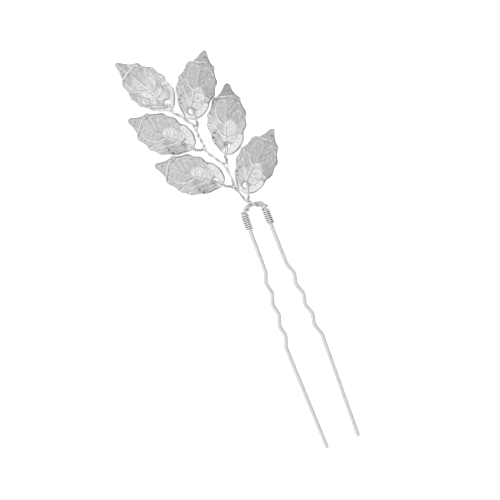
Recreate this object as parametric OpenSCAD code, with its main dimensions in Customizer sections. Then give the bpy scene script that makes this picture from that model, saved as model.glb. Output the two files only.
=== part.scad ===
// Bridal hairpin: a spray of six stamped metal leaves on one twisted wire, bound to the bow of
// a crimped, two-legged pin. It lies face up on a flat surface. All sizes are in millimetres.
// +Y runs from the tips of the pin to the spray, +X to the right and +Z up from the surface.

/* [Pin] */
// Diameter of the pin's wire
pin_d = 1.2; // [1.1:0.05:1.3]
// Length of the pin, from the top of its bow to its tips, along the middle of the wire
pin_length = 68.6; // [64:0.2:72]
// Radius of the bow's two shoulders, to the middle of the wire
bow_r = 2.3; // [2.2:0.05:2.4]
// How far the flat at the top of the bow reaches to each side
bow_flat = 0.6; // [0.5:0.05:0.7]
// Distance from the top of the bow to the first crimp
first_crimp = 18.2; // [16:0.2:19]
// Distance from one crimp to the next
crimp_pitch = 6.0; // [5.6:0.1:6.4]
// How far each leg stands from the middle at its first crimp
crimp_x = 3.04; // [2.96:0.02:3.2]
// How much further out each next crimp starts
crimp_drift = 0.36; // [0.3:0.02:0.5]
// How far a crimp steps outwards
crimp_out = 1.07; // [0.9:0.01:1.2]
// Radius of the bends in a crimp, to the middle of the wire
bend_r = 2.0; // [1.6:0.1:2.4]
// How far each tip stands from the middle
tip_x = 4.5; // [4.2:0.1:5]

/* [Thin wire] */
// Diameter of the thin wire of the spray and the binding
wire_d = 0.32; // [0.26:0.02:0.34]
// Gap between the binding and the pin that it is wound on
bind_gap = 0.06; // [0.05:0.01:0.1]
// Length of pin under one turn of a winding
wind_pitch = 0.59; // [0.5:0.01:0.7]
// Distance between the middles of the two strands of a twisted pair
pair_gap = 0.42; // [0.4:0.01:0.5]
// Length of a pair in which its strands turn once around each other
twist_pitch = 2.2; // [1.9:0.1:2.6]

/* [Leaf] */
// Thickness of the stamped sheet
sheet_t = 0.3; // [0.25:0.05:0.35]
// Diameter of the hole that the wire passes through
hole_d = 1.5; // [1.4:0.05:1.6]
// Angle at which the lower part of a leaf rises from its heel
heel_rise = 4; // [3:0.5:5]
// Angle at which the upper part of a leaf falls towards its nose
nose_fall = 10; // [8:0.5:12]
// Angle at which each half of a leaf falls away from the midrib
fold = 5.5; // [4:0.5:7]
// Height of the midrib and of the ridge across the nose
rib_h = 0.13; // [0.08:0.01:0.16]
// Height of the pleats along the side veins
pleat_h = 0.1; // [0.05:0.01:0.14]

/* [Hidden] */

// Pin: a bend is fuller than the wire by a hair, and laps over the ends of the straights
BOW_TOP = 1.0;
CRIMPS = 4;
CRIMP_RUN = 3.05;
BEND_EXTRA = 0.01;
BEND_LAP = 0.08;
TIP_CHAMFER = 0.15;
PIN_FN = 32;
BEND_FN = 96;

// Thin wire: sides of its section, spacing of its rings and rings in one turn of a winding
WIRE_SIDES = 6;
RING_STEP = 0.3;
RINGS_PER_TURN = 12;
SHARP = 50;

// Windings: where they start and end, as distances along the pin from the top of the bow.
// The tail of the spray leaves the bow at the first place below and ends at the second.
LEFT_WIND = [-8.1, -3.1];
RIGHT_WIND = [4.5, 8.2];
TAIL = [-0.6, 3.6];
// Way of the tail from the bow to the stem's foot, and small end of the spray's other strand,
// which crosses over the tail beside the top of the bow
SHOULDER = [-0.85, 2.05, 1.2];
SHORT_END = [[-1.22, 2.36, 1.75], [-0.8, 2.05, 1.98], [-0.25, 1.95, 1.78], [0.15, 2.0, 1.5]];

// Leaf: place of the midrib and of the crease where the sheet turns down, and its softness
RIB_X = 0.12;
RIB_SOFT = 0.25;
CREASE_Y = 8.2;
CREASE_SOFT = 1.3;
RIB_START = 4;
RIDGE_FADE = 0.6;
HOLE = [0.35, 2.05];
HOLE_FN = 24;
HOLE_CUT = 4;
// Row of the outline at which the nose begins, and the row's place along the leaf
NOSE_ROW = 18;
NOSE_Y = 15.2;
// Clearance from the sheet to the middle of the wire that passes over and under it, and the
// distances from the middle of the hole at which that wire turns and passes the hole's rim
LOOP_CLEAR = 0.29;
LOOP_TURN = 0.2;
LOOP_RIM = 0.8;
// Distance from the edge of the heel to the start of the twisted pair
PAIR_START = 0.5;

// Columns across a leaf, from its left edge to its right edge
COLUMNS = [-1, -0.66, -0.33, -0.07, 0, 0.07, 0.33, 0.66, 1];

// Rows of a leaf, which climb from the midrib to the edges as its veins do:
// y on the midrib, x and y on the left edge, x and y on the right edge.
// The heel is broad, half broad or pointed.
HEELS = [
    [
        [-0.40, -0.10, -0.32, 1.30, -0.38],
        [-0.08, -0.90, 0.00, 2.15, 0.00],
        [0.55, -2.10, 1.35, 3.70, 1.35],
        [1.35, -3.25, 2.70, 4.40, 2.70],
        [2.15, -3.85, 3.85, 4.80, 4.05]
    ], [
        [-0.05, -0.30, -0.02, 1.60, -0.05],
        [0.12, -0.90, 0.12, 2.10, 0.22],
        [0.60, -2.00, 1.30, 3.40, 1.40],
        [1.35, -3.10, 2.65, 4.15, 2.70],
        [2.15, -3.80, 3.85, 4.60, 4.05]
    ], [
        [-0.15, -0.35, -0.12, 0.60, -0.12],
        [0.12, -1.10, 0.20, 1.35, 0.30],
        [0.62, -2.10, 1.35, 2.75, 1.35],
        [1.35, -3.25, 2.75, 4.05, 2.60],
        [2.15, -3.85, 3.90, 4.60, 4.05]
    ]
];
// Rows between the heel and the nose, with 1 on a crest
BODY = [
    [2.85, -4.00, 4.90, 4.65, 5.35, 1],
    [3.80, -4.55, 5.95, 4.85, 6.10, 0],
    [4.70, -4.95, 6.85, 5.35, 6.90, 1],
    [5.65, -5.15, 7.55, 5.50, 7.70, 0],
    [6.60, -4.95, 8.35, 5.35, 8.50, 1],
    [7.55, -4.95, 9.30, 5.15, 9.45, 0],
    [8.35, -5.10, 10.35, 5.35, 10.55, 1],
    [9.45, -4.65, 11.05, 5.20, 11.40, 0],
    [10.40, -4.20, 11.95, 4.65, 12.15, 1],
    [11.60, -3.95, 12.95, 4.20, 12.95, 0],
    [12.70, -3.90, 13.75, 3.85, 13.75, 1],
    [13.75, -3.65, 14.40, 3.80, 14.30, 0]
];
// The nose is short or long
NOSES = [
    [
        [14.70, -3.30, 14.85, 3.65, 14.90],
        [15.25, -2.70, 15.10, 3.30, 15.20],
        [15.90, -1.95, 15.75, 2.45, 15.85],
        [16.65, -1.50, 16.60, 1.80, 16.65],
        [17.50, -1.15, 17.50, 1.25, 17.50],
        [18.35, -0.85, 18.35, 0.90, 18.35],
        [18.90, -0.50, 18.85, 0.60, 18.85],
        [19.15, -0.15, 19.15, 0.30, 19.15]
    ], [
        [14.70, -3.50, 14.85, 3.80, 15.00],
        [15.25, -3.05, 15.25, 3.55, 15.40],
        [15.95, -2.35, 15.90, 2.65, 16.00],
        [16.75, -1.75, 16.75, 1.95, 16.80],
        [17.70, -1.25, 17.70, 1.40, 17.75],
        [18.60, -0.95, 18.60, 0.90, 18.65],
        [19.30, -0.75, 19.25, 0.50, 19.30],
        [19.65, -0.40, 19.65, 0.10, 19.65]
    ]
];

// Leaves: x and y of the heel, direction in degrees from +X, roll that lifts the right side,
// slope of the nose, size, x and y where the wire leaves the heel, and which heel and nose
LEAVES = [
    [-10.61, 32.91, 120.8, 1, 9, 1.00, -0.60, -0.10, 2, 1],
    [-7.75, 28.80, 56.0, 3, 28, 1.02, 2.10, 0.15, 1, 0],
    [-9.39, 21.12, 136.5, 5, 25, 1.01, -0.30, -0.20, 0, 0],
    [-1.55, 16.44, 68.9, 5, 25, 1.01, -0.30, -0.20, 0, 0],
    [-5.42, 9.03, 144.1, 5, 25, 1.01, -0.30, -0.20, 0, 0],
    [-1.50, 5.38, 42.3, 3, 28, 1.02, 2.10, 0.15, 1, 0]
];

// Stem: x and y along its way up from the bow, and its height at both ends
STEM = [
    [-1.0, 1.95], [-1.44, 3.6], [-2.0, 5.5], [-2.55, 7.0],
    [-2.5, 8.4], [-2.4, 9.8], [-2.55, 11.3], [-2.7, 12.7],
    [-3.1, 13.9], [-3.95, 15.1], [-5.1, 16.9], [-6.0, 18.2], [-6.35, 19.5],
    [-6.4, 21.2], [-6.75, 23.4], [-6.65, 25.3],
    [-7.05, 26.8], [-8.1, 28.4], [-9.2, 30.2]
];
STEM_Z = [1.3, 2.1];

// Branches, in the order in which they leave the stem: place in STEM where they leave, leaf that
// they carry, 1 if they leave to the left, x and y of a point on their way, and the distance
// from the stem at which their two strands meet
BRANCHES = [
    [0, 6, 0, -0.45, 2.75, 0.9],
    [3, 5, 1, -3.9, 7.8, 0.9],
    [7, 4, 0, -2.0, 14.6, 1.4],
    [12, 3, 1, -7.9, 19.75, 0.8],
    [15, 2, 0, -6.0, 26.2, 1.0]
];
// Share of that distance over which the stem's own pair doesn't turn
FORK_HOLD = 0.8;

// Small helpers for vectors and smooth lines
function unit(v) = v / norm(v);
function heading(v) = atan2(v.y, v.x);
function reversed(p) = [for (i = [len(p) - 1 : -1 : 0]) p[i]];
function without_ends(p, head, tail) = [for (i = [head : len(p) - 1 - tail]) p[i]];
function before(p, i) = i > 0 ? p[i - 1] : 2 * p[0] - p[1];
function after(p, i) = i < len(p) - 1 ? p[i + 1] : 2 * p[i] - p[i - 1];

// Point at share t of the smooth curve between points i and i + 1 of p
function on_span(p, i, t) =
    let (a = before(p, i), b = p[i], c = p[i + 1], d = after(p, i + 1))
    (2 * b + (c - a) * t + (2 * a - 5 * b + 4 * c - d) * t * t
        + (3 * b - a - 3 * c + d) * t * t * t) / 2;

// Smooth curve through points first to last of p, with a point every RING_STEP or less
function smooth(p, first, last) = [
    for (i = [first : last - 1])
        let (n = ceil(norm(p[i + 1] - p[i]) / RING_STEP))
            each [for (j = [0 : n - 1]) on_span(p, i, j / n)],
    p[last]
];

// Angle by which the path p turns at its point i
function turn_at(p, i) =
    i == 0 || i == len(p) - 1 ? 0 :
    acos(max(-1, min(1, unit(p[i] - p[i - 1]) * unit(p[i + 1] - p[i]))));

// Path p with each corner sharper than SHARP degrees cut off into two
function softened(p) = [
    for (i = [0 : len(p) - 1])
        each turn_at(p, i) > SHARP
            ? [(2 * p[i] + p[i - 1]) / 3, (2 * p[i] + p[i + 1]) / 3]
            : [p[i]]
];

// Distance along p at each of its points
function lengths(p) = [
    for (i = 0, s = 0; i < len(p); s = s + (i < len(p) - 1 ? norm(p[i + 1] - p[i]) : 0), i = i + 1) s
];

// The way that p runs at its point i, and the level direction to the left of it
function way_at(p, i) = unit(after(p, i) - before(p, i));
function left_of(p, i) = let (d = way_at(p, i)) unit([-d.y, d.x, 0]);

// One strand of a pair that twists around the line p in so many turns, from angle a0, which it
// keeps over a first length called hold
function strand(p, a0, turns, hold = 0) =
    let (s = lengths(p), total = s[len(s) - 1])
    [for (i = [0 : len(p) - 1])
        let (a = a0 + 360 * turns * max(0, s[i] - hold) / (total - hold), left = left_of(p, i))
        p[i] + pair_gap / 2 * (cos(a) * left + sin(a) * cross(way_at(p, i), left))];

// Turns that bring a pair from angle a0 to angle a1 over the line p, near its natural pitch
function turns_for(p, a0, a1, hold = 0) =
    let (s = lengths(p), part = ((a1 - a0) % 360 + 360) % 360 / 360)
    part + max(0, round((s[len(s) - 1] - hold) / twist_pitch - part));

// Pin: corners of the right leg, and the angle at which it leans out below the bow
bow_y = BOW_TOP - bow_r;
tip_y = BOW_TOP - pin_length;
crimp_corners = [
    for (n = [0 : CRIMPS - 1])
        let (x = crimp_x + n * crimp_drift, y = BOW_TOP - first_crimp - n * crimp_pitch)
            each [[x, y], [x + crimp_out, y - CRIMP_RUN]]
];
to_crimp = crimp_corners[0] - [bow_flat, bow_y];
lean = atan2(to_crimp.x, -to_crimp.y) - asin(bow_r / norm(to_crimp));
leg = concat(
    [[bow_flat + bow_r * cos(lean), bow_y + bow_r * sin(lean)]],
    crimp_corners,
    [[tip_x, tip_y]]
);
bow_half = bow_flat + bow_r * (90 - lean) * PI / 180;

// The pin rests on the foot of its windings and on its tips, so it slopes a little
wind_r = pin_d / 2 + bind_gap + wire_d / 2;
wind_foot_y = bow_y + LEFT_WIND[0] + bow_half;
wind_z = wind_r + wire_d / 2;
pin_slope = atan((wind_z - pin_d / 2) / (wind_foot_y - tip_y));
pin_z = wind_z - wind_foot_y * sin(pin_slope);
function from_pin(p) = [
    p.x,
    p.y * cos(pin_slope) - p.z * sin(pin_slope),
    pin_z + p.y * sin(pin_slope) + p.z * cos(pin_slope)
];

// Angle by which the leg turns at its corner i, and the straight length that the bend takes
function corner_turn(i) =
    let (t = heading(leg[i + 1] - leg[i]) - heading(leg[i] - leg[i - 1]))
    t > 180 ? t - 360 : t < -180 ? t + 360 : t;
function bend_trim(i) =
    (i == 0 || i == len(leg) - 1) ? 0 : bend_r * tan(abs(corner_turn(i)) / 2);

module leg_straight(i) {
    way = unit(leg[i + 1] - leg[i]);
    from = leg[i] + way * (bend_trim(i) - BEND_LAP);
    last = i == len(leg) - 2;
    run = norm(leg[i + 1] - leg[i]) - bend_trim(i) - bend_trim(i + 1) + (last ? 1 : 2) * BEND_LAP;
    translate([from.x, from.y, 0]) rotate([0, 90, heading(way)]) {
        cylinder(h = last ? run - TIP_CHAMFER : run, d = pin_d, $fn = PIN_FN);
        if (last) translate([0, 0, run - TIP_CHAMFER])
            cylinder(h = TIP_CHAMFER, d1 = pin_d, d2 = pin_d - 2 * TIP_CHAMFER, $fn = PIN_FN);
    }
}

module arc_of_wire(radius, angle) {
    rotate_extrude(angle = angle, $fn = BEND_FN)
        translate([radius, 0]) circle(d = pin_d + BEND_EXTRA, $fn = PIN_FN);
}

module leg_bend(i) {
    way = unit(leg[i] - leg[i - 1]);
    turn = corner_turn(i);
    start = leg[i] - way * bend_trim(i);
    centre = start + bend_r * sign(turn) * [-way.y, way.x];
    translate([centre.x, centre.y, 0])
        rotate([0, 0, heading(start - centre) - (turn < 0 ? -turn : 0)])
            arc_of_wire(bend_r, abs(turn));
}

module pin_leg() {
    translate([bow_flat, bow_y, 0]) rotate([0, 0, lean]) arc_of_wire(bow_r, 90 - lean);
    for (i = [0 : len(leg) - 2]) leg_straight(i);
    for (i = [1 : len(leg) - 2]) leg_bend(i);
}

module u_pin() {
    color("silver") placed() translate([0, 0, pin_z]) rotate([pin_slope, 0, 0]) {
        translate([-bow_flat - BEND_LAP, BOW_TOP, 0]) rotate([0, 90, 0])
            cylinder(h = 2 * (bow_flat + BEND_LAP), d = pin_d, $fn = PIN_FN);
        pin_leg();
        mirror([1, 0, 0]) pin_leg();
    }
}

// Middle of the pin's wire, and the way out of the bow, at distance s along it from its top
function pin_angle(s) = max(0, min(abs(s), bow_half) - bow_flat) / bow_r * 180 / PI;
function pin_at(s) =
    let (a = pin_angle(s), flat = min(abs(s), bow_flat), past = max(0, abs(s) - bow_half))
    [
        sign(s) * (flat + bow_r * sin(a) + past * sin(lean)),
        bow_y + bow_r * cos(a) - past * cos(lean),
        0
    ];
function pin_outward(s) = let (a = pin_angle(s)) [sign(s) * sin(a), cos(a), 0];

// Point on a wire that is wound on the pin, at distance s and angle a from the way out
function wound(s, a) = from_pin(pin_at(s) + wind_r * (cos(a) * pin_outward(s) + [0, 0, sin(a)]));

// Over the bow the binding and the spray's tail lie on opposite sides, and turn once together
// from one end of the tail to the other
function bow_turn(s) = 360 * (s - TAIL[0]) / (TAIL[1] - TAIL[0]);
function bind_turn(s) =
    s < LEFT_WIND[1] ? bow_turn(LEFT_WIND[1]) + 360 * (s - LEFT_WIND[1]) / wind_pitch :
    s > RIGHT_WIND[0] ? bow_turn(RIGHT_WIND[0]) + 360 * (s - RIGHT_WIND[0]) / wind_pitch :
    bow_turn(s);
wind_step = wind_pitch / RINGS_PER_TURN;
function stations(from, to, step) =
    let (n = round((to - from) / step)) [for (i = [0 : n - 1]) from + (to - from) * i / n];
binding_path = [
    for (s = concat(stations(LEFT_WIND[0], LEFT_WIND[1], wind_step),
                    stations(LEFT_WIND[1], RIGHT_WIND[0], RING_STEP),
                    stations(RIGHT_WIND[0], RIGHT_WIND[1], wind_step)))
        wound(s, 180 + bind_turn(s))
];

// Leaf: height of the plain sheet's upper face over its own x and y
function crease(y) = (sqrt(pow(y - CREASE_Y, 2) + CREASE_SOFT * CREASE_SOFT) + y - CREASE_Y) / 2;
function arch(y) = y * tan(heel_rise) - (tan(heel_rise) + tan(nose_fall)) * crease(y);
function sheet(x, y) =
    arch(min(y, NOSE_Y))
    - tan(fold) * (sqrt(pow(x - RIB_X, 2) + RIB_SOFT * RIB_SOFT) - RIB_SOFT);

// Rows of leaf k, and the height of its relief on row i at share f of the way to an edge
function rows_of(k) = concat(HEELS[LEAVES[k][8]], BODY, NOSES[LEAVES[k][9]]);
function relief(i, f) =
    let (crest = BODY[i - len(HEELS[0])][5])
    (f == 0 && i >= RIB_START ? rib_h : 0)
    + (i == NOSE_ROW ? rib_h * (1 - RIDGE_FADE * abs(f)) : 0)
    + (crest == 1 ? pleat_h * sin(180 * abs(f)) : 0);

// Point of leaf k's upper face on row i at share f, where a negative share is left of the midrib
function leaf_point(k, i, f) =
    let (
        row = rows_of(k)[i],
        edge = f < 0 ? [row[1], row[2]] : [row[3], row[4]],
        x = RIB_X + (edge.x - RIB_X) * abs(f),
        y = row[0] + (edge.y - row[0]) * abs(f),
        past = max(0, y - NOSE_Y),
        slope = LEAVES[k][4]
    )
    [x, y - past + past * cos(slope), sheet(x, y) + relief(i, f) - past * sin(slope)];

// Leaf k's own frame seen from the spray's, with its heel at height 0
function leaf_turned(k, p) =
    let (
        leaf = LEAVES[k],
        roll = leaf[3],
        turn = leaf[2] - 90,
        q = leaf[5] * [p.x * cos(roll) - p.z * sin(roll), p.y, p.x * sin(roll) + p.z * cos(roll)]
    )
    [leaf[0] + q.x * cos(turn) - q.y * sin(turn), leaf[1] + q.x * sin(turn) + q.y * cos(turn), q.z];

// Every leaf rests on the surface at its lowest point
leaf_grids = [
    for (k = [0 : 5])
        [for (i = [0 : len(rows_of(k)) - 1]) for (f = COLUMNS) leaf_point(k, i, f)]
];
leaf_lift = [
    for (k = [0 : 5])
        -min([for (p = leaf_grids[k]) leaf_turned(k, p - [0, 0, sheet_t]).z])
];
function on_leaf(k, p) = leaf_turned(k, p) + [0, 0, leaf_lift[k]];

module closed_grid(points, columns) {
    n = len(points);
    rows = n / columns;
    function quad(a, b, c, d) = [[a, b, c], [a, c, d]];
    polyhedron(
        points = concat(points, [for (p = points) p - [0, 0, sheet_t]]),
        faces = [
            for (i = [0 : rows - 2]) for (j = [0 : columns - 2])
                let (a = i * columns + j, b = a + columns)
                    each concat(quad(a, b, b + 1, a + 1), quad(n + a, n + a + 1, n + b + 1, n + b)),
            for (i = [0 : rows - 2])
                let (a = i * columns, b = a + columns, c = a + columns - 1, d = b + columns - 1)
                    each concat(quad(a, n + a, n + b, b), quad(d, n + d, n + c, c)),
            for (j = [0 : columns - 2])
                let (a = j, b = n - columns + j)
                    each concat(quad(a, a + 1, n + a + 1, n + a), quad(b, n + b, n + b + 1, b + 1))
        ]
    );
}

module leaf(k) {
    color("gainsboro") placed()
        translate([LEAVES[k][0], LEAVES[k][1], leaf_lift[k]])
            rotate([0, -LEAVES[k][3], LEAVES[k][2] - 90]) scale(LEAVES[k][5]) difference() {
                closed_grid(leaf_grids[k], len(COLUMNS));
                translate([HOLE.x, HOLE.y, -HOLE_CUT / 2])
                    cylinder(h = HOLE_CUT, d = hole_d, $fn = HOLE_FN);
            }
}

// Wire at a leaf: from its pair, under the heel, up through the hole and back over the heel
function loop_at(k) =
    let (
        edge = [LEAVES[k][6], LEAVES[k][7]],
        way = unit(edge - HOLE),
        radius = sheet_t / 2 + LOOP_CLEAR,
        rim = HOLE + LOOP_RIM * way,
        turn = HOLE + LOOP_TURN * way
    )
    [
        for (side = [[edge, -90], [rim, -90], [turn, -90], [turn, -45], [turn, 0],
                     [turn, 45], [turn, 90], [rim, 90], [edge, 90]])
            let (q = side[0] - way * radius * cos(side[1]), z = radius * sin(side[1]) - sheet_t / 2)
                on_leaf(k, [q.x, q.y, sheet(q.x, q.y) + z])
    ];
function pair_end(k) =
    let (edge = [LEAVES[k][6], LEAVES[k][7]], q = edge + PAIR_START * unit(edge - HOLE))
    on_leaf(k, [q.x, q.y, sheet(q.x, q.y) - sheet_t / 2]);

// Stem and branches as lines in space
stem_top = pair_end(0);
stem = concat(
    [for (p = STEM)
        [p.x, p.y, STEM_Z[0] + (STEM_Z[1] - STEM_Z[0]) * (p.y - STEM[0].y) / (stem_top.y - STEM[0].y)]],
    [stem_top]
);
function branch_line(b) =
    let (
        foot = stem[b[0]],
        top = pair_end(b[1] - 1),
        middle = [b[3], b[4], (foot.z + top.z) / 2],
        start = foot + b[5] * unit(middle - foot)
    )
    smooth([start, middle, top], 0, 2);

// The wire's way out along branch b, round its leaf and back
function excursion(b) =
    let (
        line = branch_line(b),
        out = b[2] == 1 ? 0 : 180,
        turns = turns_for(line, out, 270),
        loop = loop_at(b[1] - 1)
    )
    concat(strand(line, out, turns), smooth(loop, 0, len(loop) - 1),
           reversed(strand(line, out + 180, turns)));

// Strands of the stem between branches, where side 0 runs up and side 180 runs down. Each
// branch leaves on the upward strand's side, and the upward strand is left out over its fork.
function stem_strand(j, side) =
    let (
        last = j == len(BRANCHES) - 1,
        line = smooth(stem, BRANCHES[j][0], last ? len(stem) - 1 : BRANCHES[j + 1][0]),
        from = BRANCHES[j][2] == 1 ? 0 : 180,
        to = last ? 270 : BRANCHES[j + 1][2] == 1 ? 0 : 180,
        hold = FORK_HOLD * BRANCHES[j][5]
    )
    strand(line, from + side, turns_for(line, from, to, hold), hold);
function fork_rings(j) = round(FORK_HOLD * BRANCHES[j][5] / RING_STEP);
way_up = [
    for (j = [0 : len(BRANCHES) - 1])
        each concat(excursion(BRANCHES[j]), without_ends(stem_strand(j, 0), fork_rings(j), 0))
];
way_down = [
    for (j = [len(BRANCHES) - 1 : -1 : 0]) each without_ends(reversed(stem_strand(j, 180)), 1, 0)
];
tail_path = [for (s = stations(TAIL[1], TAIL[0], -RING_STEP)) wound(s, bow_turn(s))];
top_loop = loop_at(0);
spray_path = softened(concat(
    tail_path,
    [SHOULDER],
    way_up,
    smooth(top_loop, 0, len(top_loop) - 1),
    without_ends(way_down, 0, fork_rings(0)),
    SHORT_END
));

// Round wire along a path, as a closed tube whose rings don't turn about the path
module wire(path) {
    n = len(path);
    ways = [for (i = [0 : n - 1]) way_at(path, i)];
    sides = [
        for (i = 0, v = unit(cross(ways[0], [0, 0, 1])); i < n;
             i = i + 1, v = i < n ? unit(v - ways[i] * (v * ways[i])) : v) v
    ];
    points = [
        for (i = [0 : n - 1]) for (j = [0 : WIRE_SIDES - 1])
            let (a = 360 * j / WIRE_SIDES)
                path[i] + wire_d / 2 * (cos(a) * sides[i] + sin(a) * cross(ways[i], sides[i]))
    ];
    polyhedron(
        points = points,
        faces = [
            [for (j = [0 : WIRE_SIDES - 1]) j],
            [for (j = [WIRE_SIDES - 1 : -1 : 0]) (n - 1) * WIRE_SIDES + j],
            for (i = [0 : n - 2]) for (j = [0 : WIRE_SIDES - 1])
                let (a = i * WIRE_SIDES + j, b = i * WIRE_SIDES + (j + 1) % WIRE_SIDES)
                    each [[a, a + WIRE_SIDES, b + WIRE_SIDES], [a, b + WIRE_SIDES, b]]
        ]
    );
}

module binding_wire() {
    color("lightgray") placed() wire(binding_path);
}

module spray_wire() {
    color("whitesmoke") placed() wire(spray_path);
}

// The origin is under the middle of the whole hairpin, on the surface that it lies on
leaf_spots = [for (k = [0 : 5]) for (p = leaf_grids[k]) on_leaf(k, p)];
reach_right = max([for (p = leaf_spots) p.x]);
reach_left = min([for (p = leaf_spots) p.x]);
reach_top = max([for (p = leaf_spots) p.y]);
reach_bottom = from_pin([0, tip_y, 0]).y;
module placed() {
    translate([-(reach_left + reach_right) / 2, -(reach_bottom + reach_top) / 2, 0]) children();
}

u_pin();
binding_wire();
spray_wire();
leaf(0);  // leaf_1
leaf(1);  // leaf_2
leaf(2);  // leaf_3
leaf(3);  // leaf_4
leaf(4);  // leaf_5
leaf(5);  // leaf_6
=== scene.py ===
from collections import namedtuple
import math
import bpy
import numpy as np
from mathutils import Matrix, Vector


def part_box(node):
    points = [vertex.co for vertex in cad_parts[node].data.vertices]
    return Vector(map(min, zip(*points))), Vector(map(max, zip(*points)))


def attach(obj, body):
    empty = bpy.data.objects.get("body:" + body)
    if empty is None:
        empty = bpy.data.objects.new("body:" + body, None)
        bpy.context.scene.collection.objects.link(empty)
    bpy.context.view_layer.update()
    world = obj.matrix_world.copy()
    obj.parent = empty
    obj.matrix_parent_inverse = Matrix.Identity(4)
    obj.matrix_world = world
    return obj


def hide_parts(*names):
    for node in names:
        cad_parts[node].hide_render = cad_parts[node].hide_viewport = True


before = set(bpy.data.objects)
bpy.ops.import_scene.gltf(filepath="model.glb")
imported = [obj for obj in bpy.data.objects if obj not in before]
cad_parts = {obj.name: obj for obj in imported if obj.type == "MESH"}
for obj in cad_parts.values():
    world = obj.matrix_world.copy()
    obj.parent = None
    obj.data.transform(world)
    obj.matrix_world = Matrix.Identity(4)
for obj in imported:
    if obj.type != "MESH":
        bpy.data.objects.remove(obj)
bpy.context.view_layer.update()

# Units: shapes are worked out in millimetres and written in metres
MM = 0.001

# Pin and thin wires
PIN_D = 1.2
PIN_LENGTH = 68.6
BOW_TOP = 1.0
BOW_R = 2.3
BOW_FLAT = 0.6
FIRST_CRIMP = np.array([3.04, -17.2])
WIRE_D = 0.36
BIND_GAP = 0.13
WIND_PITCH = 0.59
RINGS_PER_TURN = 28
PAIR_GAP = 0.47
SPRAY_D = 0.46
TWIST_PITCH = 5.0
BRANCH_PITCH = 1.3
WIRE_SIDES = 14
RING_STEP = 0.1
# Rounded end of a wire: shares of its radius, and the steps between them
END_RADII = [0.35, 0.7, 0.92]
END_STEPS = [0.16, 0.13, 0.07]

# Windings and tail: distances along the pin from the top of its bow
LEFT_WIND = (-8.1, -3.5)
RIGHT_WIND = (4.5, 8.2)
TAIL = (-0.6, 3.9)
TAIL_TAPER = 1.2
# Binding wire over the bow: distance along the pin and the share of a turn from outwards
BOW_PASS = [
    (-3.5, -0.05), (-2.7, 0.28), (-1.95, 0.5), (-1.0, 0.72), (0.3, 0.76), (1.3, 0.78), (2.0, 0.88),
    (2.6, 1.0), (3.3, 1.19), (3.9, 1.41), (4.5, 1.75),
]
BOW_PLACES = 8
SHOULDER = (-0.85, 2.05, 1.2)
SHORT_END = ((-1.22, 2.36, 1.75), (-0.8, 2.05, 1.98), (-0.25, 1.95, 1.78), (0.15, 2.0, 1.5))

# Leaf: its sheet, hole and folds
SHEET_T = 0.3
HOLE = np.array([0.35, 2.05])
HOLE_R = 0.75
HEEL_RISE = math.tan(math.radians(4))
NOSE_FALL = math.tan(math.radians(10))
FOLD = math.tan(math.radians(5.5))
RIB_X = 0.12
RIB_SOFT = 0.25
CREASE_Y = 8.2
CREASE_SOFT = 1.3
NOSE_Y = 15.2
# Rim: how far it turns down and is rounded, and how wide each is. The relief fades near the hole.
RIM_TURN = 0.06
RIM_W = 0.16
EDGE_ROUND = 0.09
EDGE_W = 0.07
HOLE_FADE = 0.3
# Grid of points over a leaf, whose columns lie closer together towards the edges. The distance from
# the rim is measured to every fourth of the outline's points.
STEPS_PER_ROW = 11
HALF_COLUMNS = 66
CROWDING = 1.25
RIM_STRIDE = 4
# Angles in degrees over which an edge stays sharp
LEAF_SMOOTH = 45
WIRE_SMOOTH = 60

# Wire at a leaf, by its chart. LOOP_START says how far from its exit the pair starts. LOOP_PASSES has
# its passes through the hole: where each goes under the heel, turns up, and leaves over the heel.
LOOP_START = {"A": 0.5, "B": 0.5, "C": 0.95}
LOOP_PASSES = {
    "A": [((-0.44, -0.2), (-0.14, 1.95), (-0.44, -0.2)), ((0.05, -0.25), (0.34, 2.1), (0.05, -0.25))],
    "B": [((2.1, 0.15), (0.75, 2.15), (2.1, 0.15))],
    "C": [((-1.05, 0.05), (-0.05, 1.45), (-0.25, -0.15))],
}
LOOP_CLEAR = 0.31
LOOP_RIM = 0.6
LOOP_ROUND = 0.35

# Rows of a leaf: y on the midrib, x and y on the left edge, x and y on the right edge
HEELS = {
    "broad": [
        (-0.4, -0.1, -0.32, 1.3, -0.38), (-0.08, -0.9, 0, 2.15, 0), (0.55, -2.1, 1.35, 3.7, 1.35),
        (1.35, -3.25, 2.7, 4.4, 2.7), (2.15, -3.85, 3.85, 4.8, 4.05),
    ],
    "middling": [
        (-0.05, -0.3, -0.02, 1.6, -0.05), (0.12, -0.9, 0.12, 2.1, 0.22), (0.6, -2, 1.3, 3.4, 1.4),
        (1.35, -3.1, 2.65, 4.15, 2.7), (2.15, -3.8, 3.85, 4.6, 4.05),
    ],
    "pointed": [
        (-0.15, -0.35, -0.12, 0.6, -0.12), (0.12, -1.1, 0.2, 1.35, 0.3), (0.62, -2.1, 1.35, 2.75, 1.35),
        (1.35, -3.25, 2.75, 4.05, 2.6), (2.15, -3.85, 3.9, 4.6, 4.05),
    ],
}
BODY = [
    (2.85, -4, 4.9, 4.65, 5.35), (3.8, -4.55, 5.95, 4.85, 6.1), (4.7, -4.95, 6.85, 5.35, 6.9),
    (5.65, -5.15, 7.55, 5.5, 7.7), (6.6, -4.95, 8.35, 5.35, 8.5), (7.55, -4.95, 9.3, 5.15, 9.45),
    (8.35, -5.1, 10.35, 5.35, 10.55), (9.45, -4.65, 11.05, 5.2, 11.4), (10.4, -4.2, 11.95, 4.65, 12.15),
    (11.6, -3.95, 12.95, 4.2, 12.95), (12.7, -3.9, 13.75, 3.85, 13.75), (13.75, -3.65, 14.4, 3.8, 14.3),
]
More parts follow.
